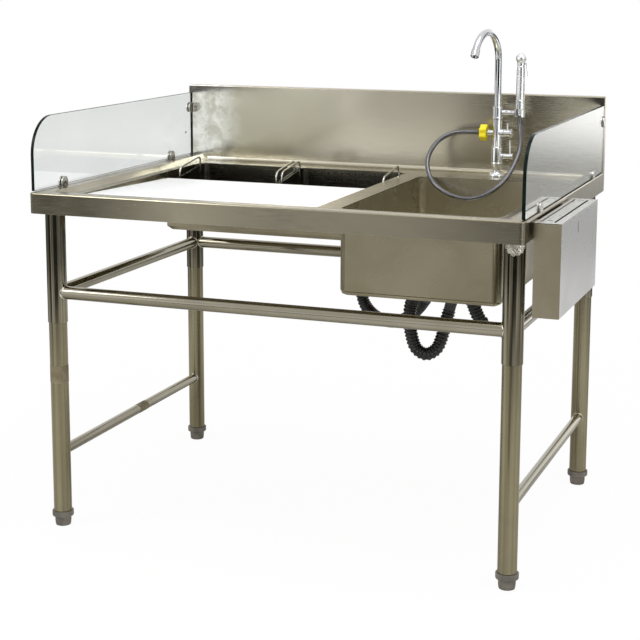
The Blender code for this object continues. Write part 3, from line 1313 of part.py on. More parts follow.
def hose_fitting(name, end, way, inner_points):
    """A pipe from inside the waste's body to a hose's end, square to the hose."""
    points = [end + way * GAP, end + way * (GAP + WASTE_PIPE_DIAMETER / 2),
              *[at_waste(*offset) for offset in inner_points]]
    bore_points = [points[0] - way * WASTE_PIPE_DIAMETER, *points[1:]]
    return (tube_along(name, points, WASTE_PIPE_DIAMETER, None, collection=CUTTERS),
            tube_along(name + "_bore", bore_points, WASTE_PIPE_BORE, None, collection=CUTTERS))


bowl_hose = [at_waste(*offset) for offset in (BOWL_HOSE_START, *BOWL_ROUTE, BOWL_HOSE_END)]
trough_hose = ([OUTLET_TOP + Vector((0, 0, -OUTLET_LENGTH - GAP))]
               + [OUTLET_TOP + Vector(offset) for offset in TROUGH_ROUTE_START]
               + [at_waste(*offset) for offset in (*TROUGH_ROUTE_END, TROUGH_HOSE_END)])
bowl_way = (bowl_hose[0] - bowl_hose[1]).normalized()
trough_way = (trough_hose[-1] - trough_hose[-2]).normalized()
fittings = [
    hose_fitting("tail_pipe", bowl_hose[0], bowl_way, TAIL_PIPE_BENDS),
    hose_fitting("side_pipe", trough_hose[-1], trough_way, SIDE_PIPE_BENDS),
]
for pipe_solid, bore in fittings:
    unite(waste_body, pipe_solid)
inside_floor = at_waste(0, 0, WASTE_BOTTOM - WASTE_BODY_DEPTH - SHEET - GAP)
cut(waste_body, cylinder("waste_inside_cutter", inside_floor, at_waste(0, 0, BOWL_CORNER),
                         2 * (tube + GAP), None, SMALL_STEPS, CUTTERS))
for pipe_solid, bore in fittings:
    cut(waste_body, bore)

turned("trough_outlet", [
    (OUTLET_FLANGE / 2, WASTE_FLANGE_THICK), (OUTLET_FLANGE / 2, GAP), (OUTLET_PIPE / 2, GAP),
    (OUTLET_PIPE / 2, -OUTLET_LENGTH), (OUTLET_BORE / 2, -OUTLET_LENGTH),
    (OUTLET_BORE / 2, WASTE_FLANGE_THICK),
], OUTLET_TOP, STEEL, SMALL_STEPS, closed=True)

# Ribbed drain hoses


def ribbed_hose(name, start, route, end, first_way, last_way):
    """A ribbed tube whose ends run straight, with a plain bore cut out of it."""
    points = [start, start + first_way * DRAIN_HOSE_STRAIGHT / 2, *route,
              end - last_way * DRAIN_HOSE_STRAIGHT / 2, end]
    line = smooth_route(points, RIB_PITCH / 2)
    low = 1 - 2 * RIB_DEPTH / DRAIN_HOSE_DIAMETER
    radii = [low if index % 2 else 1.0 for index in range(len(line))]
    hose = tube_along(name, line, DRAIN_HOSE_DIAMETER, BLACK_PLASTIC, radii=radii)
    inner = smooth_route(points, BORE_STEP)
    inner = [start - first_way * DRAIN_HOSE_BORE, *inner[1:-1], end + last_way * DRAIN_HOSE_BORE]
    cut(hose, tube_along(name + "_bore", inner, DRAIN_HOSE_BORE, None, collection=CUTTERS))


cuff_way = (bowl_hose[-1] - bowl_hose[-2]).normalized()
ribbed_hose("drain_hose_trough", trough_hose[0], trough_hose[1:-1], trough_hose[-1],
            Vector((0, 0, -1)), trough_way)
ribbed_hose("drain_hose_bowl", bowl_hose[0], bowl_hose[1:-1], bowl_hose[-1], -bowl_way, cuff_way)
cuff = turned("drain_hose_cuff", [
    (CUFF_DIAMETER / 2, 0.0), (CUFF_DIAMETER / 2, -CUFF_LENGTH), (DRAIN_HOSE_BORE / 2, -CUFF_LENGTH),
    (DRAIN_HOSE_BORE / 2, 0.0),
], bowl_hose[-1] + cuff_way * GAP, BLACK_PLASTIC, SMALL_STEPS, closed=True)
cuff.rotation_euler = Vector((0, 0, -1)).rotation_difference(cuff_way).to_euler()
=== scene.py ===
# %% [markdown]
# # A stainless preparation table with a sink, dressed for a photograph
# The imported model is loaded first. It holds every solid piece at its real size, and it stays as it is: each
# new piece below lies where the solid one does and rides on the same body, so that it moves when the solid
# one moves.

# %% The frame
import math

import bmesh
import bpy
from mathutils import Matrix, Vector


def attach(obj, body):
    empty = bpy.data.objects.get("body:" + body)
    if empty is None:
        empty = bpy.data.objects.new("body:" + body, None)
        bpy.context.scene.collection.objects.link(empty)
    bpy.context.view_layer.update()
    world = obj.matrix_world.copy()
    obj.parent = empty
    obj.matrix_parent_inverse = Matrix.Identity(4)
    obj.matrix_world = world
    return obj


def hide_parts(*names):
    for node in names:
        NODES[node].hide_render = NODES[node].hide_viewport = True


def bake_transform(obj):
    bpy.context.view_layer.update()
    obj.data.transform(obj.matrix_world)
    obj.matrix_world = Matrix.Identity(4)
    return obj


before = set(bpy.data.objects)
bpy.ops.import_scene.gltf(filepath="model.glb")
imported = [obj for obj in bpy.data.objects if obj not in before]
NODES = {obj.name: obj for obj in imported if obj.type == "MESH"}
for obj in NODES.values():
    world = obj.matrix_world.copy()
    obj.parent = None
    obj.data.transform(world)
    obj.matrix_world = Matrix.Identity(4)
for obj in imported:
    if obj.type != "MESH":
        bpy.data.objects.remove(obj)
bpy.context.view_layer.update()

# %% [markdown]
# The table was designed from a datum of its own, the middle of the front edge on the floor. One
# function turns those distances into places in the model, so that the numbers below read like a
# drawing of the table. Sizes that several pieces share get a name once. Pieces that touch on the
# real table lie a gap of 0.3 mm apart here.

# %% Places and shared sizes
DATUM = Vector((-0.0315, -0.450, 0.0))


def at(x, y, z):
    return Vector((x, y, z)) + DATUM


def over(place, height):
    return place + Vector((0, 0, height))


GAP = 0.0003
RIM = 0.840
DECK = 0.827
UNDER_DECK = 0.8252
SPLASH_FACE = 0.878
LEG_X = 0.566
LEG_Y = {"front": 0.062, "rear": 0.838}
SIDES = {"left": -1, "right": 1}
CORNERS = {(end, side): at(sign * LEG_X, y, 0.0) for end, y in LEG_Y.items() for side, sign in SIDES.items()}
TAP = at(0.3315, 0.8065, DECK)
WASTE = at(0.3315, 0.425, 0.627)
OUTLET = at(0.008, 0.650, 0.670)
RIGHTWARDS, BACKWARDS, UPWARDS = Vector((1, 0, 0)), Vector((0, 1, 0)), Vector((0, 0, 1))
print("tap at", tuple(round(value, 4) for value in TAP))

# %% [markdown]
# ## Camera
# The photograph was taken with a long lens from the right front, a little above the worktop. The
# upright edges run nearly parallel, so the camera was held almost level and the view was shifted
# down: a lens shift keeps them parallel where a tilt would make them lean.

# %% Camera


def add_object(name, data):
    made = bpy.data.objects.new(name, data)
    bpy.context.scene.collection.objects.link(made)
    return made


camera = add_object("camera", bpy.data.cameras.new("camera"))
camera.data.lens = 86.64
camera.data.sensor_width = 36.0
camera.data.shift_y = -0.125
camera.data.clip_end = 60.0
camera.matrix_world = (Matrix.Translation((1.30525, -3.58815, 1.34965))
                       @ Matrix.Rotation(math.radians(20.865), 4, "Z")
                       @ Matrix.Rotation(math.radians(90.0 - 9.748), 4, "X")
                       @ Matrix.Rotation(math.radians(0.138), 4, "Z"))
bpy.context.scene.camera = camera
bpy.context.scene.view_settings.view_transform = "Standard"
print("camera stands", round(camera.matrix_world.translation.length, 2), "m away")

# %% [markdown]
# ## Shader nodes
# A shader is a tree of small nodes. Each helper here adds one kind of node and gives back what
# comes out of it, so that a tree can be written down like a sum.

# %% Helpers for nodes


def feed(tree, socket, value):
    """Link an output to a socket, or set the socket to a plain value."""
    if isinstance(value, bpy.types.NodeSocket):
        tree.links.new(value, socket)
    else:
        socket.default_value = (*value, 1.0) if socket.type == "RGBA" else value


def node(tree, kind, inputs=None, **settings):
    made = tree.nodes.new(kind)
    for key, value in settings.items():
        setattr(made, key, value)
    for key, value in (inputs or {}).items():
        feed(tree, made.inputs[key], value)
    return made


def ramp(tree, factor, stops):
    """A colour ramp with (place, colour) stops."""
    made = node(tree, "ShaderNodeValToRGB", {"Fac": factor})
    elements = made.color_ramp.elements
    for index, (place, colour) in enumerate((stops[0], stops[-1])):
        elements[index].position, elements[index].color = place, (*colour, 1.0)
    for place, colour in stops[1:-1]:
        elements.new(place).color = (*colour, 1.0)
    return made.outputs["Color"]


def math_node(tree, operation, first, second=0.5, clamp=False):
    return node(tree, "ShaderNodeMath", {0: first, 1: second},
                operation=operation, use_clamp=clamp).outputs[0]


def times(tree, first, second, clamp=False):
    return math_node(tree, "MULTIPLY", first, second, clamp)


def mix_colour(tree, factor, first, second):
    return node(tree, "ShaderNodeMix", {"Factor": factor, "A": first, "B": second},
                data_type="RGBA").outputs["Result"]


def mix_shader(tree, factor, first, second):
    return node(tree, "ShaderNodeMixShader", {0: factor, 1: first, 2: second}).outputs[0]


def spread(tree, value, low, high, to_low=0.0, to_high=1.0, smooth=False):
    return node(tree, "ShaderNodeMapRange", {
        "Value": value, "From Min": low, "From Max": high, "To Min": to_low, "To Max": to_high},
        interpolation_type="SMOOTHSTEP" if smooth else "LINEAR").outputs["Result"]


def near(tree, value, middle, low, high):
    """A soft mask of a value's distance from a middle: 0 at low, 1 at high."""
    distance = math_node(tree, "ABSOLUTE", math_node(tree, "SUBTRACT", value, middle))
    return spread(tree, distance, low, high, smooth=True)


def noise(tree, place, scale, detail=2.0, **more):
    inputs = {"Vector": place, "Scale": scale, "Detail": detail, **more}
    return node(tree, "ShaderNodeTexNoise", inputs).outputs[0]


def object_place(tree, scale=(1.0, 1.0, 1.0), turn=(0.0, 0.0, 0.0)):
    """Object coordinates, stretched and turned."""
    place = node(tree, "ShaderNodeTexCoord").outputs["Object"]
    return node(tree, "ShaderNodeMapping", {"Vector": place, "Scale": scale, "Rotation": turn}).outputs[0]


def apart(tree, vector):
    """The X, Y and Z of a vector."""
    return node(tree, "ShaderNodeSeparateXYZ", {0: vector}).outputs


def empty_tree(owner):
    """The emptied node tree of a world or a material."""
    owner.use_nodes = True
    owner.node_tree.nodes.clear()
    return owner.node_tree


print("node helpers ready")

# %% [markdown]
# ## Studio
# Polished metal has almost no colour of its own: it shows the room. So the room matters more here
# than the lamps do. A world shader can give each direction its own brightness: white behind and
# beside the table, and a dark patch where the photographer stands, which is what makes the black
# stripes on the tap. Two more dark strips stand just outside the picture, because a shiny tube in
# front of white needs them to get a dark outline. A low black strip just under the horizon is seen
# only by upright metal near the camera's height, which is the spout and the sprayer. The camera
# sees plain white, and so do rays that have gone through glass or that glance off metal towards
# the backdrop.

# %% World with a dark side


def grey(value):
    return (value, value, value)


def bands(zones):
    """Stops for a ramp over the compass from (start, end, value) zones in degrees, front = 0."""
    return [((edge + 180.0) / 360.0, grey(value)) for first, last, value in zones for edge in (first, last)]


def between(tree, value, outer, inner, inner_end, outer_end):
    """A mask that rises from an outer to an inner edge and falls again at the other end."""
    return times(tree, spread(tree, value, outer, inner, smooth=True),
                 spread(tree, value, outer_end, inner_end, smooth=True))


bpy.context.scene.world = bpy.data.worlds.new("studio")
tree = empty_tree(bpy.context.scene.world)
direction = apart(tree, node(tree, "ShaderNodeTexCoord").outputs["Generated"])
up = direction["Z"]
bearing = math_node(tree, "ARCTAN2", direction["X"], times(tree, direction["Y"], -1.0))
compass = spread(tree, bearing, -math.pi, math.pi)
walls = ramp(tree, compass, bands([
    (-180, -173, 0.60), (-171, -143, 1.0), (-139, -105, 0.05), (-101, -62, 0.85), (-59, -39, 0.02),
    (-35, -26, 1.30), (-24, -3, 0.85), (1, 40, 0.015), (44, 84, 0.95), (86, 90, 0.05),
    (92, 126, 1.05), (129, 142, 0.06), (146, 157, 0.90), (161, 173, 1.90), (176, 180, 0.60)]))
ground = ramp(tree, compass, bands([
    (-180, -147, 0.72), (-143, -105, 0.22), (-98, -40, 0.62), (-34, -29, 0.80), (-27, 5, 0.62),
    (15, 40, 0.52), (46, 80, 0.42), (85, 90, 0.10), (93, 120, 0.66), (126, 143, 0.16), (150, 180, 0.80)]))
haze = ramp(tree, compass, bands([
    (-180, -37, 0.80), (-34, -30, 0.45), (-27, -20, 0.86), (-17, -8, 0.66), (-2, 180, 0.80)]))
around = ramp(tree, compass, bands([
    (-180, -80, 0.0), (-74, -34, 1.0), (-30, -8, 0.0), (-4, 110, 1.0), (116, 180, 0.0)]))
horizon = between(tree, up, -0.225, -0.175, -0.125, -0.085)
strip = between(tree, up, -0.112, -0.098, -0.045, -0.030)
room = mix_colour(tree, spread(tree, up, 0.12, 0.42, smooth=True), walls, grey(0.88))
room = mix_colour(tree, spread(tree, up, -0.200, -0.245, smooth=True), room, ground)
room = mix_colour(tree, times(tree, horizon, haze), room, grey(0.04))
room = mix_colour(tree, times(tree, strip, around), room, grey(0.01))
rays = node(tree, "ShaderNodeLightPath").outputs
room = mix_colour(tree, rays["Is Diffuse Ray"], room, (0.80, 0.80, 0.79))
plain = math_node(tree, "MAXIMUM", rays["Is Camera Ray"], rays["Is Transmission Ray"])
backdrop = times(tree, rays["Is Glossy Ray"], times(
    tree, spread(tree, bearing, math.radians(-172), math.radians(-171)),
    spread(tree, bearing, math.radians(-146), math.radians(-147))))
room = mix_colour(tree, math_node(tree, "MAXIMUM", plain, backdrop), room, grey(1.0))
background = node(tree, "ShaderNodeBackground", {"Color": room})
node(tree, "ShaderNodeOutputWorld", {"Surface": background.outputs[0]})
print("world nodes:", len(tree.nodes))

# %% [markdown]
# The floor is a plain pale sheet that keeps the table's soft shadow. Its edge would show as a line
# against the white room, so the sheet turns see-through towards its rim.

# %% Floor
FLOOR_RADIUS = 3.4
bm = bmesh.new()
bmesh.ops.create_circle(bm, cap_ends=True, radius=FLOOR_RADIUS, segments=64)
bmesh.ops.translate(bm, vec=(0.0, 0.0, -0.0004), verts=bm.verts)
mesh = bpy.data.meshes.new("floor")
bm.to_mesh(mesh)
bm.free()
floor = add_object("floor", mesh)

pale = bpy.data.materials.new("pale_floor")
tree = empty_tree(pale)
reach = node(tree, "ShaderNodeVectorMath", {0: node(tree, "ShaderNodeTexCoord").outputs["Object"]},
             operation="LENGTH").outputs["Value"]
rays = node(tree, "ShaderNodeLightPath").outputs
paint = mix_colour(tree, rays["Is Glossy Ray"], (0.93, 0.93, 0.92), (0.66, 0.65, 0.62))
seen = math_node(tree, "MAXIMUM", rays["Is Camera Ray"], rays["Is Transmission Ray"])
lit = mix_shader(tree, times(tree, seen, 0.95),
                 node(tree, "ShaderNodeBsdfDiffuse", {"Color": paint}).outputs[0],
                 node(tree, "ShaderNodeEmission", {"Strength": 1.0}).outputs[0])
faded = mix_shader(tree, spread(tree, reach, 1.6, 3.2, smooth=True), lit,
                   node(tree, "ShaderNodeBsdfTransparent").outputs[0])
node(tree, "ShaderNodeOutputMaterial", {"Surface": faded})
floor.data.materials.append(pale)
print("floor is", round(2 * FLOOR_RADIUS, 1), "m across")

# %% [markdown]
# Three large, weak lamps give the tubes their bright stripes and the board its even white. A large
# lamp close to a shiny thing looks like a window in it, which is what a photographer's softbox is.

# %% Lamps
for name, place, target, width, height, watts in (
        ("softbox_left", (-2.6, -2.4, 2.3), (0.0, 0.0, 0.7), 1.1, 2.0, 34.0),
        ("softbox_top", (0.6, -0.6, 3.4), (0.0, 0.0, 0.8), 2.2, 1.4, 34.0),
        ("softbox_right", (2.9, -1.2, 1.5), (0.3, 0.0, 0.6), 0.7, 2.0, 14.0)):
    lamp = add_object(name, bpy.data.lights.new(name, "AREA"))
    lamp.data.shape = "RECTANGLE"
    lamp.data.size, lamp.data.size_y, lamp.data.energy = width, height, watts
    lamp.location = place
    lamp.rotation_euler = (Vector(target) - Vector(place)).to_track_quat("-Z", "Y").to_euler()

# %% [markdown]
# ## Finishes
# Every sheet and tube here is stainless steel, brushed or rolled in one direction. Grain is a noise
# texture that is stretched along that direction, and clouds are a large soft noise, for the stains
# and wiped patches that a used kitchen table has. Fine crooked lines make scratches. All of this is
# wanted in several materials, so it is made once, as a node group that gives out three masks.

# %% Group for grain and clouds


def new_group(name, inputs, outputs):
    """An empty node group with (name, kind, value) inputs and numbers as outputs."""
    group = bpy.data.node_groups.new(name, "ShaderNodeTree")
    for label, kind, value in inputs:
        socket = group.interface.new_socket(label, in_out="INPUT", socket_type=kind)
        if value is not None:
            socket.default_value = value
    for label in outputs:
        group.interface.new_socket(label, in_out="OUTPUT", socket_type=NUMBER)
    return group, group.nodes.new("NodeGroupInput").outputs, group.nodes.new("NodeGroupOutput").inputs


NUMBER = "NodeSocketFloat"
VECTOR = "NodeSocketVector"
metal_marks, given, result = new_group(
    "metal_marks",
    [("Place", VECTOR, None), ("Grain Place", VECTOR, None), ("Grain Scale", NUMBER, 600.0),
     ("Cloud Scale", NUMBER, 5.0), ("Scratches", NUMBER, 0.5)],
    ["Grain", "Clouds", "Scratch"])
tree = metal_marks
clouds = noise(tree, given["Place"], given["Cloud Scale"], 4.0, Distortion=0.6)
bent = node(tree, "ShaderNodeTexNoise", {"Vector": given["Place"], "Scale": 3.0}).outputs["Color"]
sway = node(tree, "ShaderNodeVectorMath", {0: bent, 1: grey(0.35), 2: given["Place"]},
            operation="MULTIPLY_ADD").outputs[0]
lines = node(tree, "ShaderNodeTexVoronoi", {"Vector": sway, "Scale": 9.0}, feature="DISTANCE_TO_EDGE")
thin = spread(tree, lines.outputs["Distance"], 0.004, 0.0, smooth=True)
patchy = spread(tree, clouds, 0.55, 0.65, smooth=True)
feed(tree, result["Scratch"], times(tree, times(tree, thin, patchy), given["Scratches"]))
feed(tree, result["Grain"], noise(tree, given["Grain Place"], given["Grain Scale"], 3.0, Roughness=0.6))
feed(tree, result["Clouds"], spread(tree, clouds, 0.30, 0.70))
print("group", metal_marks.name, "gives", [item.name for item in metal_marks.interface.items_tree
                                           if item.in_out == "OUTPUT"])

# %% [markdown]
# A worn edge is paler. Geometry's Pointiness shows edges on a dense mesh, but a folded sheet has few points,
# so the Bevel node is used instead: where the rounded normal differs from the true one, there is an edge
# nearby.

# %% Group for edges
edge_wear, given, result = new_group(
    "edge_wear", [("Radius", NUMBER, 0.002), ("Strength", NUMBER, 0.6)], ["Edge"])
tree = edge_wear
rounded = node(tree, "ShaderNodeBevel", {"Radius": given["Radius"]}, samples=4).outputs[0]
true_side = node(tree, "ShaderNodeNewGeometry").outputs["Normal"]
likeness = node(tree, "ShaderNodeVectorMath", {0: rounded, 1: true_side}, operation="DOT_PRODUCT")
edge = spread(tree, likeness.outputs["Value"], 1.0, 0.85, smooth=True)
feed(tree, result["Edge"], times(tree, edge, given["Strength"], clamp=True))
print("group", edge_wear.name, "ready")

# %% [markdown]
# A material starts as one Principled shader, and its plain values are set on the shader's own sockets. A
# texture is linked over a plain value where it's wanted.

# %% Helpers for materials
ALONG_X = (0.03, 1.0, 1.0)
ALONG_Y = (1.0, 0.03, 1.0)
ALONG_Z = (1.0, 1.0, 0.03)


def principled(name, colour, roughness, metallic=0.0):
    """A material with only its Principled shader, set to plain values."""
    made = bpy.data.materials.new(name)
    made.use_nodes = True
    tree, shader = made.node_tree, made.node_tree.nodes["Principled BSDF"]
    for label, value in (("Base Color", colour), ("Roughness", roughness), ("Metallic", metallic)):
        feed(tree, shader.inputs[label], value)
    return made, tree, shader


def opened(material):
    """A finished material's tree, its colour socket and what feeds it, to paint over a part of it."""
    socket = material.node_tree.nodes["Principled BSDF"].inputs["Base Color"]
    return material.node_tree, socket, socket.links[0].from_socket


def bump(tree, shader, height, strength, distance, **settings):
    inputs = {"Height": height, "Strength": strength, "Distance": distance}
    feed(tree, shader.inputs["Normal"], node(tree, "ShaderNodeBump", inputs, **settings).outputs[0])


def shade(colour, factor):
    return tuple(min(1.0, factor * part) for part in colour)


def marked_metal(name, light, rough, stretch, cloud_scale, scratches):
    """A metal with the group for grain and clouds in its tree."""
    made, tree, shader = principled(name, light, rough, 1.0)
    marks = node(tree, "ShaderNodeGroup", {
        "Place": object_place(tree), "Grain Place": object_place(tree, stretch), "Cloud Scale": cloud_scale,
        "Scratches": scratches}, node_tree=metal_marks)
    return made, tree, shader, marks.outputs


def brush(tree, shader, marks, smooth, rough, grain_rough, grain_lift):
    """Let the roughness follow the clouds and the grain, and let the grain lift the surface."""
    feed(tree, shader.inputs["Roughness"], math_node(
        tree, "ADD", spread(tree, marks["Clouds"], 0.0, 1.0, rough, smooth),
        spread(tree, marks["Grain"], 0.3, 0.7, -grain_rough, grain_rough)))
    bump(tree, shader, marks["Grain"], grain_lift, 0.00005)


print("material helpers ready")

# %% [markdown]
# The steel material puts the two groups to work. The base colour drifts between two greys with a
# touch of olive, the roughness follows the grain and the clouds, and the grain also lifts the
# surface by a few thousandths of a millimetre.

# %% Steel


def steel(name, dark, light, smooth, rough, grain_stretch, grain_lift=0.12, cloud_scale=5.0,
          scratches=0.4, edge_strength=0.45, grain_rough=0.04):
    made, tree, shader, marks = marked_metal(name, light, rough, grain_stretch, cloud_scale,
                                             scratches)
    worn = node(tree, "ShaderNodeGroup", {"Strength": edge_strength}, node_tree=edge_wear).outputs["Edge"]
    colour = mix_colour(tree, marks["Clouds"], dark, light)
    colour = mix_colour(tree, marks["Scratch"], colour, shade(dark, 0.55))
    colour = mix_colour(tree, worn, colour, shade(light, 1.35))
    feed(tree, shader.inputs["Base Color"], colour)
    brush(tree, shader, marks, smooth, rough, grain_rough, grain_lift)
    return made


deck_steel = steel("deck_steel", (0.33, 0.30, 0.215), (0.44, 0.405, 0.305), 0.18, 0.27, ALONG_X,
                   grain_lift=0.10, scratches=0.15)
bowl_steel = steel("bowl_steel", (0.31, 0.275, 0.185), (0.41, 0.37, 0.26), 0.24, 0.32, ALONG_X,
                   grain_lift=0.005, cloud_scale=7.0, scratches=0.0, grain_rough=0.005)
# Painted light: the bowl's inside is the same steel as its outside, made paler to lift it out of its shade.
bowl_inside_painted_light = steel("bowl_inside_painted_light", (0.52, 0.485, 0.38), (0.68, 0.64, 0.52), 0.24, 0.34, ALONG_Y,
                    grain_lift=0.02, cloud_scale=8.0, scratches=0.2, grain_rough=0.01)
# Painted shade: the basket steel is far darker than the table's, for the shade and dark reflection in the
# baskets' well.
basket_steel_painted_shade = steel("basket_steel_painted_shade", (0.09, 0.083, 0.06), (0.19, 0.18, 0.14), 0.22, 0.34, ALONG_X)
# Painted light: the knife box's side and lid top are the same steel as its front, made paler as if lit.
box_steel_painted_light = steel("box_steel_painted_light", (0.60, 0.595, 0.58), (0.68, 0.675, 0.66), 0.24, 0.32, ALONG_Y,
                  grain_lift=0.01, cloud_scale=4.0, scratches=0.0, grain_rough=0.005)
box_front_steel = steel("box_front_steel", (0.33, 0.29, 0.20), (0.42, 0.375, 0.275), 0.24, 0.32, ALONG_X,
                        grain_lift=0.01, cloud_scale=6.0, scratches=0.0, grain_rough=0.005)
# Painted shade: the walls inside the knife box and in its lid's slots are made near black.
box_inside_painted_shade = steel("box_inside_painted_shade", (0.02, 0.019, 0.016), (0.05, 0.048, 0.040), 0.40, 0.55, ALONG_Z)
wire_steel = steel("wire_steel", (0.50, 0.49, 0.44), (0.68, 0.67, 0.62), 0.12, 0.20, ALONG_Y,
                   grain_lift=0.1, edge_strength=0.0)
weld_steel = steel("weld_steel", (0.40, 0.37, 0.29), (0.78, 0.76, 0.70), 0.18, 0.32, (1.0, 1.0, 1.0),
                   grain_lift=1.0, cloud_scale=60.0, edge_strength=0.0)
# Painted light: the backsplash steel is a paler copy of the deck's, for the brighter reflection on the
# upright sheet.
splash_steel_painted_light = steel("splash_steel_painted_light", (0.44, 0.405, 0.31), (0.56, 0.525, 0.43), 0.18, 0.27, ALONG_X,
                     grain_lift=0.12, cloud_scale=3.2, scratches=0.5)
print("steels:", [made.name for made in bpy.data.materials if made.name.endswith("steel")])

# %% [markdown]
# Two of the steels carry a mark in one place. The knife box has a short dark line of weld on its side, and
# the left end of the backsplash has been rubbed pale in blotches; those pale blotches are also a painted
# highlight, for the bright reflection at that end. Each mark is painted over the finished colour, where a
# mask made from the object's own coordinates says so.

# %% Weld line, and worn end with a painted highlight
tree, socket, finish = opened(box_steel_painted_light)
spot = apart(tree, object_place(tree))
on_line = times(tree, near(tree, spot["Y"], -0.207, 0.0046, 0.0022),
                near(tree, spot["Z"], 0.797, 0.0135, 0.0115))
feed(tree, socket, mix_colour(tree, on_line, finish, (0.05, 0.05, 0.045)))

tree, socket, finish = opened(splash_steel_painted_light)
place = object_place(tree)
wear_and_highlight_blotches = noise(tree, place, 26.0, 6.0, Roughness=0.65)
edge = math_node(tree, "ADD", apart(tree, place)["X"], spread(tree, wear_and_highlight_blotches, 0.2, 0.8, -0.05, 0.05))
# Pale blotches: rubbed wear and a painted highlight together.
patch = mix_colour(tree, spread(tree, wear_and_highlight_blotches, 0.40, 0.60), (0.62, 0.60, 0.52), (0.90, 0.89, 0.84))
feed(tree, socket, mix_colour(tree, spread(tree, edge, -0.460, -0.535, smooth=True), finish, patch))
print("marks painted on", box_steel_painted_light.name, "and", splash_steel_painted_light.name)

# %% [markdown]
# Round tube is drawn and polished lengthwise, so its streaks run along it. On the real table they are what
# one notices first: thin dark and pale lines from end to end, partly polish marks and partly reflections,
# which are painted here as painted reflection. A noise that hardly changes along the tube gives them, with a
# steep ramp for the darkest ones.

# %% Tubes


def tube(name, stretch, dark, light, lines, smooth, rough):
    """Polished tube with lengthwise streaks, partly polish marks and partly painted reflection: lines is how
    dark the darkest streaks get.
    """
    made, tree, shader, marks = marked_metal(name, light, rough, stretch, 9.0, 0.2)
    long_stretch = tuple(0.008 if part < 1.0 else 1.0 for part in stretch)
    # Partly polish streaks, partly painted reflection: dark and pale lines along the tube.
    streaks_and_painted_reflections = noise(tree, object_place(tree, long_stretch), 95.0, 1.5)
    colour = mix_colour(tree, spread(tree, streaks_and_painted_reflections, 0.35, 0.65), dark, light)
    colour = mix_colour(tree, spread(tree, streaks_and_painted_reflections, 0.37, 0.33, smooth=True), colour, shade(dark, lines))
    colour = mix_colour(tree, times(tree, marks["Clouds"], 0.35), colour, shade(dark, 0.75))
    feed(tree, shader.inputs["Base Color"], colour)
    brush(tree, shader, marks, smooth, rough, 0.03, 0.12)
    return made


leg_steel = tube("leg_steel", ALONG_Z, (0.26, 0.23, 0.145), (0.39, 0.355, 0.245), 0.55, 0.14, 0.22)
sleeve_steel = tube("sleeve_steel", ALONG_Z, (0.19, 0.17, 0.115), (0.40, 0.37, 0.28), 0.20, 0.05, 0.10)
rail_steel, side_rail_steel = (
    tube(name, stretch, (0.27, 0.245, 0.18), (0.42, 0.395, 0.32), 0.20, 0.07, 0.14)
    for name, stretch in (("rail_steel", ALONG_X), ("side_rail_steel", ALONG_Y)))
print("tubes:", leg_steel.name, sleeve_steel.name, rail_steel.name, side_rail_steel.name)

# %% [markdown]
# Chrome plate is smoother than any steel. Its only texture is a thin film of water spots and fingerprints,
# which changes its roughness and, a little, its colour. The sprayer's chrome is satin, so its roughness is
# several times higher. The shower hose is a wound strip of metal: its windings are drawn from a number that
# is stored along it. Its colour is painted shade: the strip is made dark, and near black in the grooves
# between the windings.

# %% Chrome and the shower hose's skin


def film(tree, scale, low, high):
    """A soft noise between two values, for spots and fingerprints."""
    return spread(tree, noise(tree, object_place(tree), scale, 5.0), 0.35, 0.65, low, high)


def filmed(name, slot, dark, light, patches, spots, low, high, metallic=1.0, amount=1.0):
    """A material whose colour and roughness each follow a film: patches and spots are their scales."""
    made, tree, shader = principled(name, light, high, metallic)
    feed(tree, shader.inputs["Base Color"], mix_colour(tree, film(tree, patches, 0.0, amount), dark, light))
    feed(tree, shader.inputs["Roughness"], film(tree, spots, low, high))
    return made, tree, shader


def rings(tree, pitch, low, high):
    """A mask that repeats along a hose: 0 at low and 1 at high, as shares of the pitch from its middle."""
    along = node(tree, "ShaderNodeAttribute", attribute_name="along").outputs["Fac"]
    return near(tree, math_node(tree, "FRACT", times(tree, along, 1.0 / pitch)), 0.5, low, high)


WINDING = 0.0026
chrome, satin_chrome, clamp_metal, screw_dark = (filmed(name, "chrome", *look)[0] for name, *look in (
    ("chrome", (0.62, 0.63, 0.65), (0.76, 0.77, 0.78), 25.0, 60.0, 0.03, 0.12),
    ("satin_chrome", (0.80, 0.80, 0.81), (0.92, 0.92, 0.92), 25.0, 60.0, 0.22, 0.34),
    ("clamp_metal", (0.42, 0.41, 0.37), (0.58, 0.57, 0.53), 90.0, 120.0, 0.20, 0.34),
    ("screw_dark", (0.07, 0.07, 0.065), (0.20, 0.20, 0.19), 200.0, 300.0, 0.25, 0.5)))
# Painted shade: the wound metal is made dark, and darkest in the grooves between its windings.
hose_metal_painted_shade, tree, shader = principled("hose_metal_painted_shade", (0.55, 0.55, 0.56), 0.16, 1.0)
crest = rings(tree, WINDING, 0.5, 0.32)
feed(tree, shader.inputs["Base Color"], mix_colour(tree, crest, (0.01, 0.01, 0.01), (0.18, 0.18, 0.19)))
feed(tree, shader.inputs["Roughness"], film(tree, 40.0, 0.12, 0.24))
bump(tree, shader, crest, 0.7, 0.0004)
print("chrome and hose metal made")

# %% [markdown]
# The plastics differ in what has happened to them. The board is cut on, so it carries faint
# straight marks. The feet and the hoses only gather dust. The nut is bright moulded plastic.
# A drain hose is ribbed: the grooves between its ribs are made near black, painted shade in the creases, so
# its colour follows the ribs.

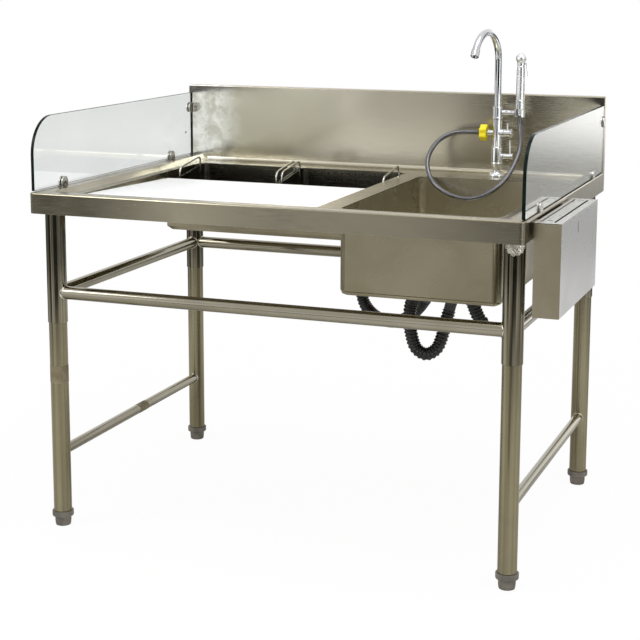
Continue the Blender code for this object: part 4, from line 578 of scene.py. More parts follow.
# %% Plastics
board_white, tree, shader = principled("board_white", (0.90, 0.90, 0.90), 0.45)
cuts = spread(tree, noise(tree, object_place(tree, (1.0, 0.02, 1.0), (0.0, 0.0, 0.5)), 320.0), 0.62, 0.70,
              smooth=True)
feed(tree, shader.inputs["Base Color"], mix_colour(tree, cuts, (0.91, 0.915, 0.92), (0.84, 0.85, 0.86)))
feed(tree, shader.inputs["Roughness"], film(tree, 12.0, 0.38, 0.52))
bump(tree, shader, cuts, 0.3, 0.0001, invert=True)


def dusty_plastic(name, slot, colour, dust, low, high, amount):
    """Moulded plastic with a soft layer of dust and a fine pebbled skin."""
    made, tree, shader = filmed(name, slot, colour, dust, 30.0, 55.0, low, high, 0.0, amount)
    bump(tree, shader, noise(tree, object_place(tree), 900.0), 0.15, 0.0001)
    return made


foot_grey, hose_black, waste_black, nut_yellow, tape_brown = (dusty_plastic(*look) for look in (
    ("foot_grey", "grey_plastic", (0.095, 0.088, 0.075), (0.20, 0.18, 0.15), 0.35, 0.55, 0.8),
    ("hose_black", "black_plastic", (0.008, 0.008, 0.009), (0.020, 0.020, 0.020), 0.25, 0.36, 0.6),
    ("waste_black", "black_plastic", (0.018, 0.018, 0.019), (0.06, 0.06, 0.06), 0.35, 0.5, 0.6),
    ("nut_yellow", "yellow_plastic", (0.92, 0.76, 0.010), (0.80, 0.62, 0.02), 0.25, 0.38, 0.5),
    ("tape_brown", "grey_plastic", (0.12, 0.095, 0.048), (0.24, 0.20, 0.125), 0.55, 0.75, 1.0)))
RIB = 0.0088
# Painted shade: the grooves between the drain hose's ribs are made near black.
tree, socket, finish = opened(hose_black)
feed(tree, socket, mix_colour(tree, rings(tree, RIB, 0.10, 0.34), grey(0.0008), finish))
print("plastics made")

# %% [markdown]
# Toughened glass is clear across its face and green along its ground edges, where light travels
# through far more of it. One sheet therefore has two materials: a see-through one for the faces
# and a dark green one for the edges.

# %% Glass
glass_face, tree, shader = principled("glass_face", (0.86, 0.89, 0.87), 0.0)
feed(tree, shader.inputs["Transmission Weight"], 1.0)
feed(tree, shader.inputs["IOR"], 1.50)
feed(tree, shader.inputs["Base Color"],
     mix_colour(tree, film(tree, 5.0, 0.0, 1.0), (0.85, 0.88, 0.86), (0.88, 0.90, 0.89)))
glass_edge, tree, shader = filmed("glass_edge", "clear_glass", (0.002, 0.005, 0.004), (0.006, 0.016, 0.014),
                                  70.0, 90.0, 0.08, 0.30, 0.0)
feed(tree, shader.inputs["Specular IOR Level"], 0.08)
print("glass made")

# %% [markdown]
# ## Making a piece
# Every new piece ends in the same way: its mesh becomes an object, gets smooth shading with sharp folds, a
# small bevel where two faces meet, a material and a body to ride on, and the solid pieces it stands for are
# hidden. One function does that, so no step is forgotten.

# %% Helper that finishes a piece


def finish_piece(name, bm, material, body="table", stands_for=(), bevel=0.0, smooth=35.0, extra=()):
    """Turn a bmesh into a finished piece that rides on a body, or on none."""
    mesh = bpy.data.meshes.new(name)
    bm.to_mesh(mesh)
    bm.free()
    for coat in (material, *extra):
        mesh.materials.append(coat)
    mesh.shade_smooth()
    mesh.set_sharp_from_angle(angle=math.radians(smooth))
    piece = add_object(name, mesh)
    if bevel:
        rounding = piece.modifiers.new("edges", "BEVEL")
        rounding.width = bevel
        rounding.segments = 2
        rounding.limit_method = "ANGLE"
        rounding.angle_limit = math.radians(35.0)
        rounding.harden_normals = True
    else:
        flat = piece.modifiers.new("flat_faces", "WEIGHTED_NORMAL")
        flat.keep_sharp = True
        flat.weight = 100
    if body:
        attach(piece, body)
    if stands_for:
        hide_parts(*stands_for)
    return piece


# %% [markdown]
# A mesh is built from a few simple moves: turn a profile, draw a face out, round an edge off, add
# a block or a short round pin. Each is written once here, and the pieces below call them.

# %% Helpers for shapes


def face_out(bm):
    bmesh.ops.recalc_face_normals(bm, faces=bm.faces)


def clean(bm):
    """Merge doubled points and turn every face outwards."""
    bmesh.ops.remove_doubles(bm, verts=bm.verts, dist=0.00001)
    face_out(bm)


def aim(place, axis):
    """The matrix that takes +Z to an axis and the origin to a place."""
    return Matrix.Translation(place) @ UPWARDS.rotation_difference(Vector(axis)).to_matrix().to_4x4()


def spin_profile(bm, profile, place, axis=UPWARDS, steps=48, ring=False):
    """Spin a line of (radius, height) points round an axis; ring joins its last point to its first."""
    points = [bm.verts.new((radius, 0.0, height)) for radius, height in profile]
    pairs = list(zip(points, points[1:])) + ([(points[-1], points[0])] if ring else [])
    edges = [bm.edges.new(pair) for pair in pairs]
    bmesh.ops.spin(bm, geom=points + edges, cent=(0, 0, 0), axis=(0, 0, 1), dvec=(0, 0, 0),
                   angle=math.tau, steps=steps, use_merge=True, use_duplicate=False)
    fresh = [vertex for vertex in bm.verts if not vertex.tag]
    bmesh.ops.transform(bm, matrix=aim(place, axis), verts=fresh)
    for vertex in fresh:
        vertex.tag = True
    return fresh


def oval(radius, wide, tall):
    """The closed profile of a thin ring with an oval cut."""
    return [(radius + wide * math.cos(angle), tall * math.sin(angle))
            for angle in (math.tau * step / 8 for step in range(8))]


def turned_piece(name, profile, place, material, body="table", stands_for=(), axis=UPWARDS, steps=48,
                 ring=False, smooth=28.0):
    """A piece made of one spun profile."""
    bm = bmesh.new()
    spin_profile(bm, profile, place, axis, steps, ring)
    clean(bm)
    return finish_piece(name, bm, material, body, stands_for, smooth=smooth)


def merged_copy(name):
    """The mesh of a solid piece with its loose triangles joined into clean faces."""
    bm = bmesh.new()
    bm.from_mesh(NODES[name].data)
    bmesh.ops.remove_doubles(bm, verts=bm.verts, dist=0.00002)
    bmesh.ops.dissolve_limit(bm, angle_limit=math.radians(0.6), verts=bm.verts, edges=bm.edges)
    return bm


def draw_out(bm, faces, way):
    """Draw faces out along a way."""
    made = bmesh.ops.extrude_face_region(bm, geom=faces)["geom"]
    bmesh.ops.translate(bm, vec=way, verts=[item for item in made if isinstance(item, bmesh.types.BMVert)])


def round_off(bm, geom, offset, segments, affect="EDGES"):
    bmesh.ops.bevel(bm, geom=geom, offset=offset, segments=segments, profile=0.5, affect=affect, material=-1)


def block(bm, size, middle):
    """A cube scaled to a size and moved, as a list of its points."""
    verts = bmesh.ops.create_cube(bm, size=1.0)["verts"]
    bmesh.ops.scale(bm, vec=size, verts=verts)
    bmesh.ops.translate(bm, vec=middle, verts=verts)
    return verts


def pin(bm, radius, depth, matrix, segments=24, top=None, caps=True):
    """A short cylinder, or a cone if its top has a radius of its own, as a list of its points."""
    return bmesh.ops.create_cone(bm, cap_ends=caps, segments=segments, radius1=radius, radius2=top or radius,
                                 depth=depth, matrix=matrix)["verts"]


print("shape helpers ready")

# %% [markdown]
# ## Folded sheets
# The worktop, backsplash, bowl, shelf and trough are flat sheet, folded and welded. The solid pieces already
# have the right folds, so copies of them are used: their triangles are joined, most of them get a small round
# edge that catches the light, and the steel finish does the rest. The bowl's faces that look inwards get a
# paler copy of its steel: painted light, which lifts the inside of the bowl out of its shade.

# %% Sheets
FOLD = 0.0004
for name, material, bevel in (("worktop", deck_steel, FOLD), ("backsplash", splash_steel_painted_light, FOLD),
                              ("board_shelf", deck_steel, 0.0), ("basket_trough", bowl_steel, 0.0),
                              ("deck_channel_left", bowl_steel, FOLD),
                              ("deck_channel_right", bowl_steel, FOLD)):
    finish_piece(name + "_sheet", merged_copy(name), material, stands_for=[name], bevel=bevel)
bm = merged_copy("sink_bowl")
for face in bm.faces:
    outwards = face.calc_center_median() - over(WASTE, 0.10)
    face.material_index = 1 if face.normal.dot(outwards) < 0 else 0
finish_piece("sink_bowl_sheet", bm, bowl_steel, stands_for=["sink_bowl"], extra=[bowl_inside_painted_light])

# %% [markdown]
# Where the backsplash meets the deck, the real table has a small cove, so that water runs off.
# Its outline is a corner with a quarter of a hollow round, and it is drawn out along the table.

# %% Cove along the backsplash
COVE = 0.009
COVE_START, COVE_LENGTH = -0.541, 1.082
BACK = SPLASH_FACE - 0.0004
outline = [at(COVE_START, BACK, DECK)] + [
    at(COVE_START, BACK - COVE + COVE * math.sin(math.radians(angle)),
       DECK + COVE - COVE * math.cos(math.radians(angle))) for angle in range(0, 91, 15)]
bm = bmesh.new()
draw_out(bm, [bm.faces.new([bm.verts.new(point) for point in outline])], (COVE_LENGTH, 0, 0))
clean(bm)
finish_piece("splash_cove", bm, splash_steel_painted_light, smooth=50.0)
print("cove radius", COVE * 1000, "mm")

# %% [markdown]
# ## Tube frame
# The legs plug into wider sleeves under the worktop, and round rails join them. A tube is a closed
# line of six points spun round its axis. A rail that ends on a round post is coped: its end
# follows the post's skin, so each end point is moved along the rail until it touches the post.

# %% Sleeves and legs
TUBE_WALL = 0.0015
SLEEVE_RADIUS = 0.024
SLEEVE_LOW, SLEEVE_HIGH = 0.516, 0.8234
LEG_RADIUS = 0.0222
LEG_LOW, LEG_LENGTH = 0.038, 0.602


def tube_profile(outer, length, round_edge=0.0006):
    """A tube's cut with slightly rounded mouths."""
    return [(outer, round_edge), (outer, length - round_edge), (outer - round_edge, length),
            (outer - TUBE_WALL, length), (outer - TUBE_WALL, 0.0), (outer - round_edge, 0.0)]


for side in SIDES:
    bm = bmesh.new()
    for end in LEG_Y:
        spin_profile(bm, tube_profile(LEG_RADIUS, LEG_LENGTH), over(CORNERS[end, side], LEG_LOW), ring=True)
    clean(bm)
    finish_piece("legs_" + side, bm, leg_steel, stands_for=["lower_frame_" + side])
    for end in LEG_Y:
        turned_piece("sleeve_%s_%s" % (end, side), tube_profile(SLEEVE_RADIUS, SLEEVE_HIGH - SLEEVE_LOW),
                     over(CORNERS[end, side], SLEEVE_LOW), sleeve_steel,
                     stands_for=["leg_socket_%s_%s" % (end, side)], ring=True, smooth=35.0)
print("sleeves and legs made")

# %% [markdown]
# The rails come next, with a bead of weld round each end. A bead is a thin ring that follows the
# same coped line. Welds are never even, so each point of a bead is moved a little by a sine of its
# angle: a welder's ripples, and the same every time the script runs.

# %% Rails and weld beads


def cope(vertex, centre, along, post_radius, lift=0.0):
    """Move a rail's end point along the rail onto the skin of an upright post."""
    offset = vertex.co - centre
    across = Vector((-along.y, along.x, 0.0)).normalized()
    reach = math.sqrt(max(post_radius ** 2 - offset.dot(across) ** 2, 0.0))
    vertex.co += along * (reach + lift - offset.dot(along))


def rail_piece(name, first, second, radius, post_radius, stands_for):
    bm = bmesh.new()
    way = (second - first).normalized()
    length = (second - first).length
    for vertex in pin(bm, radius, length, aim((first + second) / 2, way), 48, caps=False):
        if (vertex.co - first).dot(way) < length / 2:
            cope(vertex, first, way, post_radius - GAP)
        else:
            cope(vertex, second, -way, post_radius - GAP)
    face_out(bm)
    bmesh.ops.holes_fill(bm, edges=[edge for edge in bm.edges if edge.is_boundary], sides=0)
    finish_piece(name, bm, rail_steel if abs(way.x) > 0.5 else side_rail_steel, stands_for=stands_for)


def weld_bead(bm, centre, way, rail_radius, post_radius, thick=0.0022):
    """A rippled ring of weld where a rail meets a post."""
    for vertex in spin_profile(bm, oval(rail_radius, thick * 0.8, thick), (0, 0, 0), ring=True, steps=64):
        angle = math.atan2(vertex.co.y, vertex.co.x)
        ripple = 1.0 + 0.010 * math.sin(37 * angle) + 0.008 * math.sin(23 * angle + 1.0)
        lift = vertex.co.z
        vertex.co = aim(centre, way) @ Vector((vertex.co.x * ripple, vertex.co.y * ripple, 0.0))
        cope(vertex, centre, way, post_radius, lift)


RAIL_ENDS = {"front": (("front", "left"), ("front", "right")), "rear": (("rear", "left"), ("rear", "right")),
             "left": (("front", "left"), ("rear", "left")), "right": (("front", "right"), ("rear", "right"))}
LOWER_HEIGHT, LOWER_RADIUS = 0.188, 0.0125
beads = bmesh.new()
for level, height, radius, post in (("upper", 0.590, 0.016, SLEEVE_RADIUS),
                                    ("lower", LOWER_HEIGHT, LOWER_RADIUS, LEG_RADIUS)):
    for place in RAIL_ENDS if level == "upper" else SIDES:
        start, end = (over(CORNERS[corner], height) for corner in RAIL_ENDS[place])
        name = "%s_rail_%s" % (level, place)
        rail_piece(name + "_tube", start, end, radius, post, [name] if level == "upper" else [])
        way = (end - start).normalized()
        weld_bead(beads, start, way, radius, post)
        weld_bead(beads, end, -way, radius, post)
for place in CORNERS.values():
    spin_profile(beads, oval(SLEEVE_RADIUS, 0.0024, 0.0018), over(place, SLEEVE_HIGH - 0.0012), ring=True)
clean(beads)
finish_piece("weld_beads", beads, weld_steel, smooth=80.0)
print("rails made, with weld beads")

# %% [markdown]
# ## Feet
# A plastic insert closes each leg, and a foot on a stem stands under it. Both are turned shapes, so
# a profile is spun. The foot narrows downwards, and every fourth line of points round it is drawn
# in a little, which gives shallow grooves for the fingers that adjust it.

# %% Feet
COLLAR = [(0.0204, 0.063), (0.0204, 0.0375), (0.0258, 0.0375), (0.0265, 0.0365), (0.0265, 0.0265),
          (0.0258, 0.0243), (0.0055, 0.0243), (0.0055, 0.063)]
PAD = [(0.0, 0.044), (0.0050, 0.044), (0.0050, 0.0235), (0.0188, 0.0235), (0.0198, 0.0225),
       (0.0200, 0.0130), (0.0192, 0.0045), (0.0182, 0.0006), (0.0170, 0.0), (0.0, 0.0)]
PAD_STEPS = 40
GROOVE = 0.05
for side in SIDES:
    for end in LEG_Y:
        label = "%s_%s" % (end, side)
        ground = CORNERS[end, side]
        turned_piece("foot_collar_" + label, COLLAR, ground, foot_grey, stands_for=["foot_insert_" + label],
                     steps=PAD_STEPS, ring=True, smooth=50.0)
        bm = bmesh.new()
        spin_profile(bm, PAD, ground, steps=PAD_STEPS)
        clean(bm)
        for vertex in bm.verts:
            away = vertex.co - ground
            turn = round(math.atan2(away.y, away.x) / math.tau * PAD_STEPS)
            if 0.002 < vertex.co.z < 0.022 and math.hypot(away.x, away.y) > 0.012 and turn % 4 == 0:
                vertex.co.x -= away.x * GROOVE
                vertex.co.y -= away.y * GROOVE
        finish_piece("foot_pad_" + label, bm, foot_grey, "foot_" + label, ["foot_" + label], smooth=50.0)
print("feet made")

# %% [markdown]
# ## Board and baskets
# The board is a thick white slab that lies on a sloping shelf. It starts as a cube, is scaled to
# its size, has its edges bevelled and is then tipped by the shelf's slope.

# %% Cutting board
BOARD = (0.600, 0.460, 0.020)
SLOPE = math.atan2(0.016, 0.468)
bm = bmesh.new()
block(bm, BOARD, (0.0, BOARD[1] / 2, BOARD[2] / 2))
round_off(bm, bm.edges[:], 0.002, 3)
bmesh.ops.transform(bm, matrix=Matrix.Translation(at(-0.216, 0.109, 0.80616))
                    @ Matrix.Rotation(-SLOPE, 4, "X"), verts=bm.verts)
finish_piece("board", bm, board_white, "cutting_board", ["cutting_board"])
print("board slopes", round(math.degrees(SLOPE), 2), "degrees")

# %% [markdown]
# Wires, the spout and the hoses are all bars along a path: a ring of points is pushed along it,
# one stretch at a time. The ring turns as little as possible from one point to the next, so the
# bar doesn't twist. How far each ring lies along the bar is stored, for the materials to read.

# %% Helper for bars along a path


def frames_along(points):
    """A matrix for each point of a path, turned as little as possible from one to the next."""
    last = len(points) - 1
    ways = [(points[min(index + 1, last)] - points[max(index - 1, 0)]).normalized()
            for index in range(last + 1)]
    turn = UPWARDS.rotation_difference(ways[0])
    frames = []
    for index, (point, way) in enumerate(zip(points, ways)):
        if index:
            turn = ways[index - 1].rotation_difference(way) @ turn
        frames.append(Matrix.Translation(point) @ turn.to_matrix().to_4x4())
    return frames


def push_along(bm, points, radii, sides):
    """Push a ring along a path, close both ends, and store how far each ring lies along it."""
    along = bm.verts.layers.float.get("along") or bm.verts.layers.float.new("along")
    ring = bmesh.ops.create_circle(bm, cap_ends=False, radius=1.0, segments=sides)["verts"]
    corners = [vertex.co.copy() for vertex in ring]
    first = last = list({edge for vertex in ring for edge in vertex.link_edges})
    distance = 0.0
    for index, place in enumerate(frames_along(points)):
        if index:
            made = bmesh.ops.extrude_edge_only(bm, edges=last)["geom"]
            new = [item for item in made if isinstance(item, bmesh.types.BMVert)]
            last = [item for item in made if isinstance(item, bmesh.types.BMEdge)
                    and item.verts[0] in new and item.verts[1] in new]
            partner = {edge.other_vert(vertex): vertex for vertex in new for edge in vertex.link_edges}
            ring = [partner[vertex] for vertex in ring]
            distance += (points[index] - points[index - 1]).length
        for vertex, spot in zip(ring, corners):
            vertex.co = place @ (spot * radii[index])
            vertex[along] = distance
    bmesh.ops.edgeloop_fill(bm, edges=first)
    bmesh.ops.edgeloop_fill(bm, edges=last)


def bar_piece(name, paths, radius, sides, material, body="table", stands_for=(), smooth=60.0):
    """One or more bars as a piece; the radius is one number, or a list with one for each point."""
    bm = bmesh.new()
    for points in paths:
        push_along(bm, points, radius if isinstance(radius, list) else [radius] * len(points), sides)
    face_out(bm)
    return finish_piece(name, bm, material, body, stands_for, smooth=smooth)


print("path helpers ready")

# %% [markdown]
# The baskets are thin pressed boxes with rows of punched holes. Their walls and holes are already right in
# the solid pieces. Their steel is made far darker than the table's, as painted shade and dark reflection for
# the well they sit in. The wire handles are not round enough, so a second piece covers them.
# A handle's path is worked out: up from the end wall, round two bends and down again.

# %% Baskets and their handles
BASKET_FRONT, BASKET_REAR = 0.5785, 0.777
RIM_FRONT, RIM_REAR = 0.8045, 0.8285
BEND = 0.014


def basket_rim(y):
    """The height of a basket's sloping rim at a distance from the front."""
    share = (y - BASKET_FRONT - 0.0152) / (BASKET_REAR - BASKET_FRONT - 0.0304)
    return RIM_FRONT + (RIM_REAR - RIM_FRONT) * min(max(share, 0.0), 1.0)


def handle_path(x):
    """Up from inside the end wall, round a bend, back above the sloping rim and down."""
    middle = (BASKET_FRONT + BASKET_REAR) / 2
    path = []
    for sign, start in ((-1, 180), (1, 90)):
        y = middle + sign * 0.065
        bend = []
        for step in range(7):
            angle = math.radians(start - 15 * step)
            b = y - sign * BEND + BEND * math.cos(angle)
            bend.append(at(x, b, basket_rim(b) + 0.012 + BEND * math.sin(angle)))
        leg = at(x, y, basket_rim(y) - 0.020)
        path += [leg, *bend] if sign < 0 else [*bend, leg]
    return path


for side, middle in (("left", -0.3595), ("right", -0.0605)):
    body = "basket_" + side
    finish_piece(body + "_pan", merged_copy(body), basket_steel_painted_shade, body, [body])
    bar_piece(body + "_handles", [handle_path(middle + sign * 0.1417) for sign in (-1, 1)], 0.0027, 14,
              wire_steel, body)
print("baskets made")

# %% [markdown]
# ## Glass screens
# Each screen starts as one rectangle. Its upper front corner is rounded with a vertex bevel, the
# outline is drawn out by the glass's thickness, and its ground edge gets a tiny bevel. The faces
# that look sideways keep the clear material and all others get the green one.

# %% Glass screens
GLASS = 0.008
for side, sign in SIDES.items():
    bm = bmesh.new()
    x = sign * 0.599 - (GLASS if sign > 0 else 0.0)
    corners = [bm.verts.new(at(x, y, z))
               for y, z in ((0.012, 0.842), (0.876, 0.842), (0.876, 1.017), (0.012, 1.017))]
    bm.faces.new(corners)
    round_off(bm, [corners[3]], 0.09, 24, "VERTICES")
    draw_out(bm, bm.faces[:], (GLASS, 0, 0))
    face_out(bm)
    round_off(bm, [edge for edge in bm.edges if any(abs(face.normal.x) > 0.9 for face in edge.link_faces)],
              0.0007, 2)
    for face in bm.faces:
        face.material_index = 0 if abs(face.normal.x) > 0.99 else 1
    finish_piece("screen_" + side, bm, glass_face, stands_for=["glass_" + side], smooth=15.0,
                 extra=[glass_edge])
print("screens made")

# %% [markdown]
# Small clamps hold the glass. Each has two jaws shaped like a letter D and a foot between them.
# A jaw is a rectangle whose two upper corners are bevelled until they meet in a half round. Thin black rubber
# pads lie between the jaws and the glass, and their black also stands as painted shade on the jaw seen
# through the glass. A screw's head shows on the inner jaw.

# %% Glass clamps
CLAMP_WIDE, CLAMP_TALL, JAW = 0.028, 0.022, 0.004
SCREW = [(0.0, 0.0), (0.0030, 0.0), (0.0030, 0.0007), (0.0026, 0.0010), (0.0015, 0.0010), (0.0013, 0.0003),
         (0.0, 0.0003)]


def clamp_piece(name, foot, up, side_way, inner_side):
    """A clamp on a foot point: up leads away from its base, side_way runs along the glass."""
    bm = bmesh.new()
    half = side_way * CLAMP_WIDE / 2
    for sign in (-1, 1):
        start = foot + RIGHTWARDS * (sign * 0.006 - JAW / 2)
        corners = [bm.verts.new(point) for point in (
            start - half, start + half, start + half + up * CLAMP_TALL, start - half + up * CLAMP_TALL)]
        bm.faces.new(corners)
        round_off(bm, corners[2:], CLAMP_WIDE / 2 - 0.0001, 12, "VERTICES")
        jaw = max((face for face in bm.faces if all(abs(v.co.x - start.x) < 1e-5 for v in face.verts)),
                  key=lambda face: face.calc_area())
        draw_out(bm, [jaw], RIGHTWARDS * JAW)
    broad, thin = CLAMP_WIDE * 0.98, 0.0014
    block(bm, (0.0085, broad, thin) if up.z else (0.0085, thin, broad), foot + up * (thin / 2))
    face_out(bm)
    finish_piece(name, bm, clamp_metal, stands_for=["glass_" + name], bevel=0.0007)
    # Black pads: rubber liners, and painted shade on the jaw seen through the glass.
    bm = bmesh.new()
    for sign in (-1, 1):
        pin(bm, 0.0100, 0.00022, aim(foot + up * 0.0112 + RIGHTWARDS * (sign * 0.00415), RIGHTWARDS), 28)
    finish_piece(name + "_rubber_and_painted_shade", bm, hose_black)
    turned_piece(name + "_screw", SCREW,
                 foot + up * (CLAMP_TALL - CLAMP_WIDE / 2) + RIGHTWARDS * (inner_side * 0.0080), screw_dark,
                 axis=RIGHTWARDS * inner_side, steps=24, smooth=35.0)


for side, sign in SIDES.items():
    x = sign * 0.595
    for place, y in (("front", 0.150), ("rear", 0.745)):
        clamp_piece("clamp_%s_%s" % (side, place), at(x, y, RIM + GAP), UPWARDS, BACKWARDS, -sign)
    clamp_piece("clamp_%s_splash" % side, at(x, SPLASH_FACE - GAP, 0.975), -BACKWARDS, UPWARDS, -sign)
print("clamps made")

# %% [markdown]
# ## Knife box
# The knife box hangs beside the worktop. Its shell and its slotted lid are flat sheet again, so the solid
# pieces are copied. Each gets its finish face by face: a warm front, a side made paler as painted light, and
# walls inside and in the slots made dark as painted shade. The short weld line on its side is drawn by the
# material.

# %% Knife box
BOX_MIDDLE = at(0.636, 0.265, 0.725)
# The side gets the steel with painted light, the front its own tone, and the inside the painted shade.
bm = merged_copy("knife_box_shell")
for face in bm.faces:
    outwards = face.normal.dot(face.calc_center_median() - BOX_MIDDLE) > 0
    face.material_index = 2 if not outwards else 1 if face.normal.y < -0.5 else 0
finish_piece("knife_box_pan", bm, box_steel_painted_light, stands_for=["knife_box_shell"], bevel=FOLD,
             extra=[box_front_steel, box_inside_painted_shade])
bm = merged_copy("knife_box_top")
# The slot walls get the inside steel, which is painted shade.
for face in bm.faces:
    face.material_index = 0 if abs(face.normal.z) > 0.7 or face.calc_area() > 0.0008 else 1
finish_piece("knife_box_lid", bm, box_steel_painted_light, stands_for=["knife_box_top"], extra=[box_inside_painted_shade])
print("knife box made")

# %% [markdown]
# ## Mixer tap
# Nearly every piece of a tap is turned on a lathe, and so it is here: a profile is written down
# and spun. Small steps and rounds in a profile cost nothing, and they are what makes chrome look
# like chrome, because each one draws a thin bright or dark line.

# %% Tap body
MAIN_BRANCH, SPRAY_BRANCH = 0.054, 0.115
turned_piece("tap_flange", [
    (0.0085, 0.0130), (0.0112, 0.0130), (0.0128, 0.0126), (0.0150, 0.0114), (0.0172, 0.0095),
    (0.0188, 0.0066), (0.0197, 0.0040), (0.0200, 0.0030), (0.0200, 0.0006), (0.0194, 0.0), (0.0085, 0.0)],
    over(TAP, GAP), chrome, stands_for=["tap_base_flange"], ring=True)
bm = bmesh.new()
spin_profile(bm, [
    (0.0, 0.1510), (0.0112, 0.1510), (0.0120, 0.1502), (0.0120, 0.0790), (0.0126, 0.0782), (0.0140, 0.0780),
    (0.0145, 0.0774), (0.0145, 0.0706), (0.0140, 0.0700), (0.0140, 0.0386), (0.0142, 0.0376),
    (0.0150, 0.0360), (0.0150, 0.0345), (0.0146, 0.0330), (0.0128, 0.0260), (0.0098, 0.0165),
    (0.0083, 0.0132), (0.0080, 0.0100), (0.0080, 0.0), (0.0100, 0.0), (0.0100, -0.055), (0.0, -0.055)], TAP)
for height, radius, reach in ((MAIN_BRANCH, 0.0075, 0.018), (SPRAY_BRANCH, 0.0105, 0.018)):
    spin_profile(bm, [(0.0, 0.0), (radius, 0.0), (radius, reach - 0.003), (radius + 0.001, reach - 0.0025),
                      (radius + 0.001, reach - 0.0005), (radius, reach), (0.0, reach)],
                 over(TAP, height), RIGHTWARDS)
spin_profile(bm, [
    (0.0, 0.0), (0.0075, 0.0), (0.0075, 0.019), (0.0082, 0.0195), (0.0082, 0.0255), (0.0075, 0.026),
    (0.0050, 0.026), (0.0050, 0.039), (0.0, 0.039)], over(TAP, SPRAY_BRANCH), -RIGHTWARDS)
clean(bm)
finish_piece("tap_column", bm, chrome, stands_for=["tap_body"], smooth=28.0)
print("tap body made")

# %% [markdown]
# Two knobs turn about the tap's side branches, each with a thin pin to push it round. Pin and knob
# are one piece, so both are spun into the same mesh, each about its own axis.

# %% Tap handles
for name, height, knob, length, reach, rise in (("main", MAIN_BRANCH, 0.0075, 0.026, 0.017, 0.043),
                                                ("spray", SPRAY_BRANCH, 0.0105, 0.0225, 0.009, 0.026)):
    place = TAP + Vector((0.0183, 0, height))
    bm = bmesh.new()
    spin_profile(bm, [
        (0.0, length), (knob - 0.0010, length), (knob + 0.0010, length - 0.0004),
        (knob + 0.0015, length - 0.0010), (knob + 0.0015, length - 0.0035),
        (knob + 0.0010, length - 0.0043), (knob, length - 0.0052),
        (knob, 0.0008), (knob - 0.0006, 0.0), (0.0, 0.0)], place, RIGHTWARDS)
    spin_profile(bm, [(0.0, 0.0), (0.0025, 0.0), (0.0025, rise - 0.0032), (0.0032, rise - 0.0028),
                      (0.0032, rise - 0.0008), (0.0024, rise), (0.0, rise)],
                 place + RIGHTWARDS * reach, steps=24)
    clean(bm)
    finish_piece(name + "_knob", bm, chrome, name + "_handle", [name + "_tap_handle"], smooth=28.0)
print("handles made")

# %% [markdown]
# The yellow nut that holds the hose has six soft lobes. It starts as a circle, every point is
# moved in or out by a cosine of its angle, and the outline is drawn out, bevelled and inset.

# %% Hose nut
NUT_LENGTH = 0.0185
NUT_PLACE = TAP + Vector((-0.026 - GAP - NUT_LENGTH / 2, 0, SPRAY_BRANCH))
bm = bmesh.new()
for vertex in bmesh.ops.create_circle(bm, cap_ends=True, radius=0.020, segments=72)["verts"]:
    angle = math.atan2(vertex.co.y, vertex.co.x)
    vertex.co *= (0.0198 + 0.0019 * math.cos(6 * angle)) / vertex.co.length
draw_out(bm, bm.faces[:], (0, 0, NUT_LENGTH))
bmesh.ops.translate(bm, vec=(0, 0, -NUT_LENGTH / 2), verts=bm.verts)
face_out(bm)
round_off(bm, list({edge for face in bm.faces if abs(face.normal.z) > 0.9 for edge in face.edges}), 0.0022, 4)
for sign in (-1, 1):
    cap = max((face for face in bm.faces if face.normal.z * sign > 0.9), key=lambda item: item.calc_area())
    bmesh.ops.inset_individual(bm, faces=[cap], thickness=0.0045, depth=0.0)
    bmesh.ops.inset_individual(bm, faces=[cap], thickness=0.0070, depth=-0.0035)
bmesh.ops.transform(bm, matrix=aim(NUT_PLACE, RIGHTWARDS), verts=bm.verts)
finish_piece("hose_nut_lobed", bm, nut_yellow, "hose_nut", ["hose_nut"], smooth=40.0)
print("nut made")

# %% [markdown]
# The holder is a collar round the foot of the spout, an arm, and a cup with a slot in its front
# for the sprayer's hose. The cup is spun from its front edge almost all the way round, which
# leaves the slot open, and its two open ends are closed with a face each.

# %% Sprayer holder
ARM_HEIGHT = 0.169
CUP_PLACE = TAP + Vector((0.060, 0, ARM_HEIGHT))
SPOUT_FOOT = over(TAP, 0.1513)
bm = bmesh.new()
spin_profile(bm, [(0.0098, 0.0), (0.0127, 0.0), (0.0135, 0.0008), (0.0135, 0.0052), (0.0128, 0.0060),
                  (0.0128, 0.0270), (0.0135, 0.0278), (0.0135, 0.0322), (0.0127, 0.0330), (0.0098, 0.0330)],
             SPOUT_FOOT, ring=True)
spin_profile(bm, [(0.0068, 0.0), (0.0070, 0.010), (0.0062, 0.020), (0.0062, 0.030), (0.0070, 0.034)],
             TAP + Vector((0.0125, 0, ARM_HEIGHT)), RIGHTWARDS, steps=32)
before = set(bm.verts)
points = [bm.verts.new((radius, 0.0, height)) for radius, height in (
    (0.0105, -0.010), (0.0134, -0.010), (0.0140, -0.0094), (0.0140, 0.0094), (0.0134, 0.010),
    (0.0105, 0.010))]
start = bm.faces.new(points)
slot_half = math.degrees(math.asin(0.00675 / 0.0125))
bmesh.ops.rotate(bm, cent=(0, 0, 0), matrix=Matrix.Rotation(math.radians(-90 + slot_half), 3, "Z"),
                 verts=points)
bmesh.ops.spin(bm, geom=[start, *start.edges, *points], cent=(0, 0, 0), axis=(0, 0, 1), dvec=(0, 0, 0),
               angle=math.radians(360 - 2 * slot_half), steps=40, use_merge=False, use_duplicate=False)
bmesh.ops.translate(bm, vec=CUP_PLACE, verts=[vertex for vertex in bm.verts if vertex not in before])
clean(bm)
finish_piece("sprayer_holder", bm, chrome, stands_for=["spray_holder"], smooth=28.0)
print("holder made")

# %% [markdown]
# The spout is a bent tube. The ring is pushed up its straight part and round the arch, and the
# aerator on its end is a turned piece that looks along the last stretch. A nut with six sides
# under the deck holds the tap: it is a profile spun in only six steps.

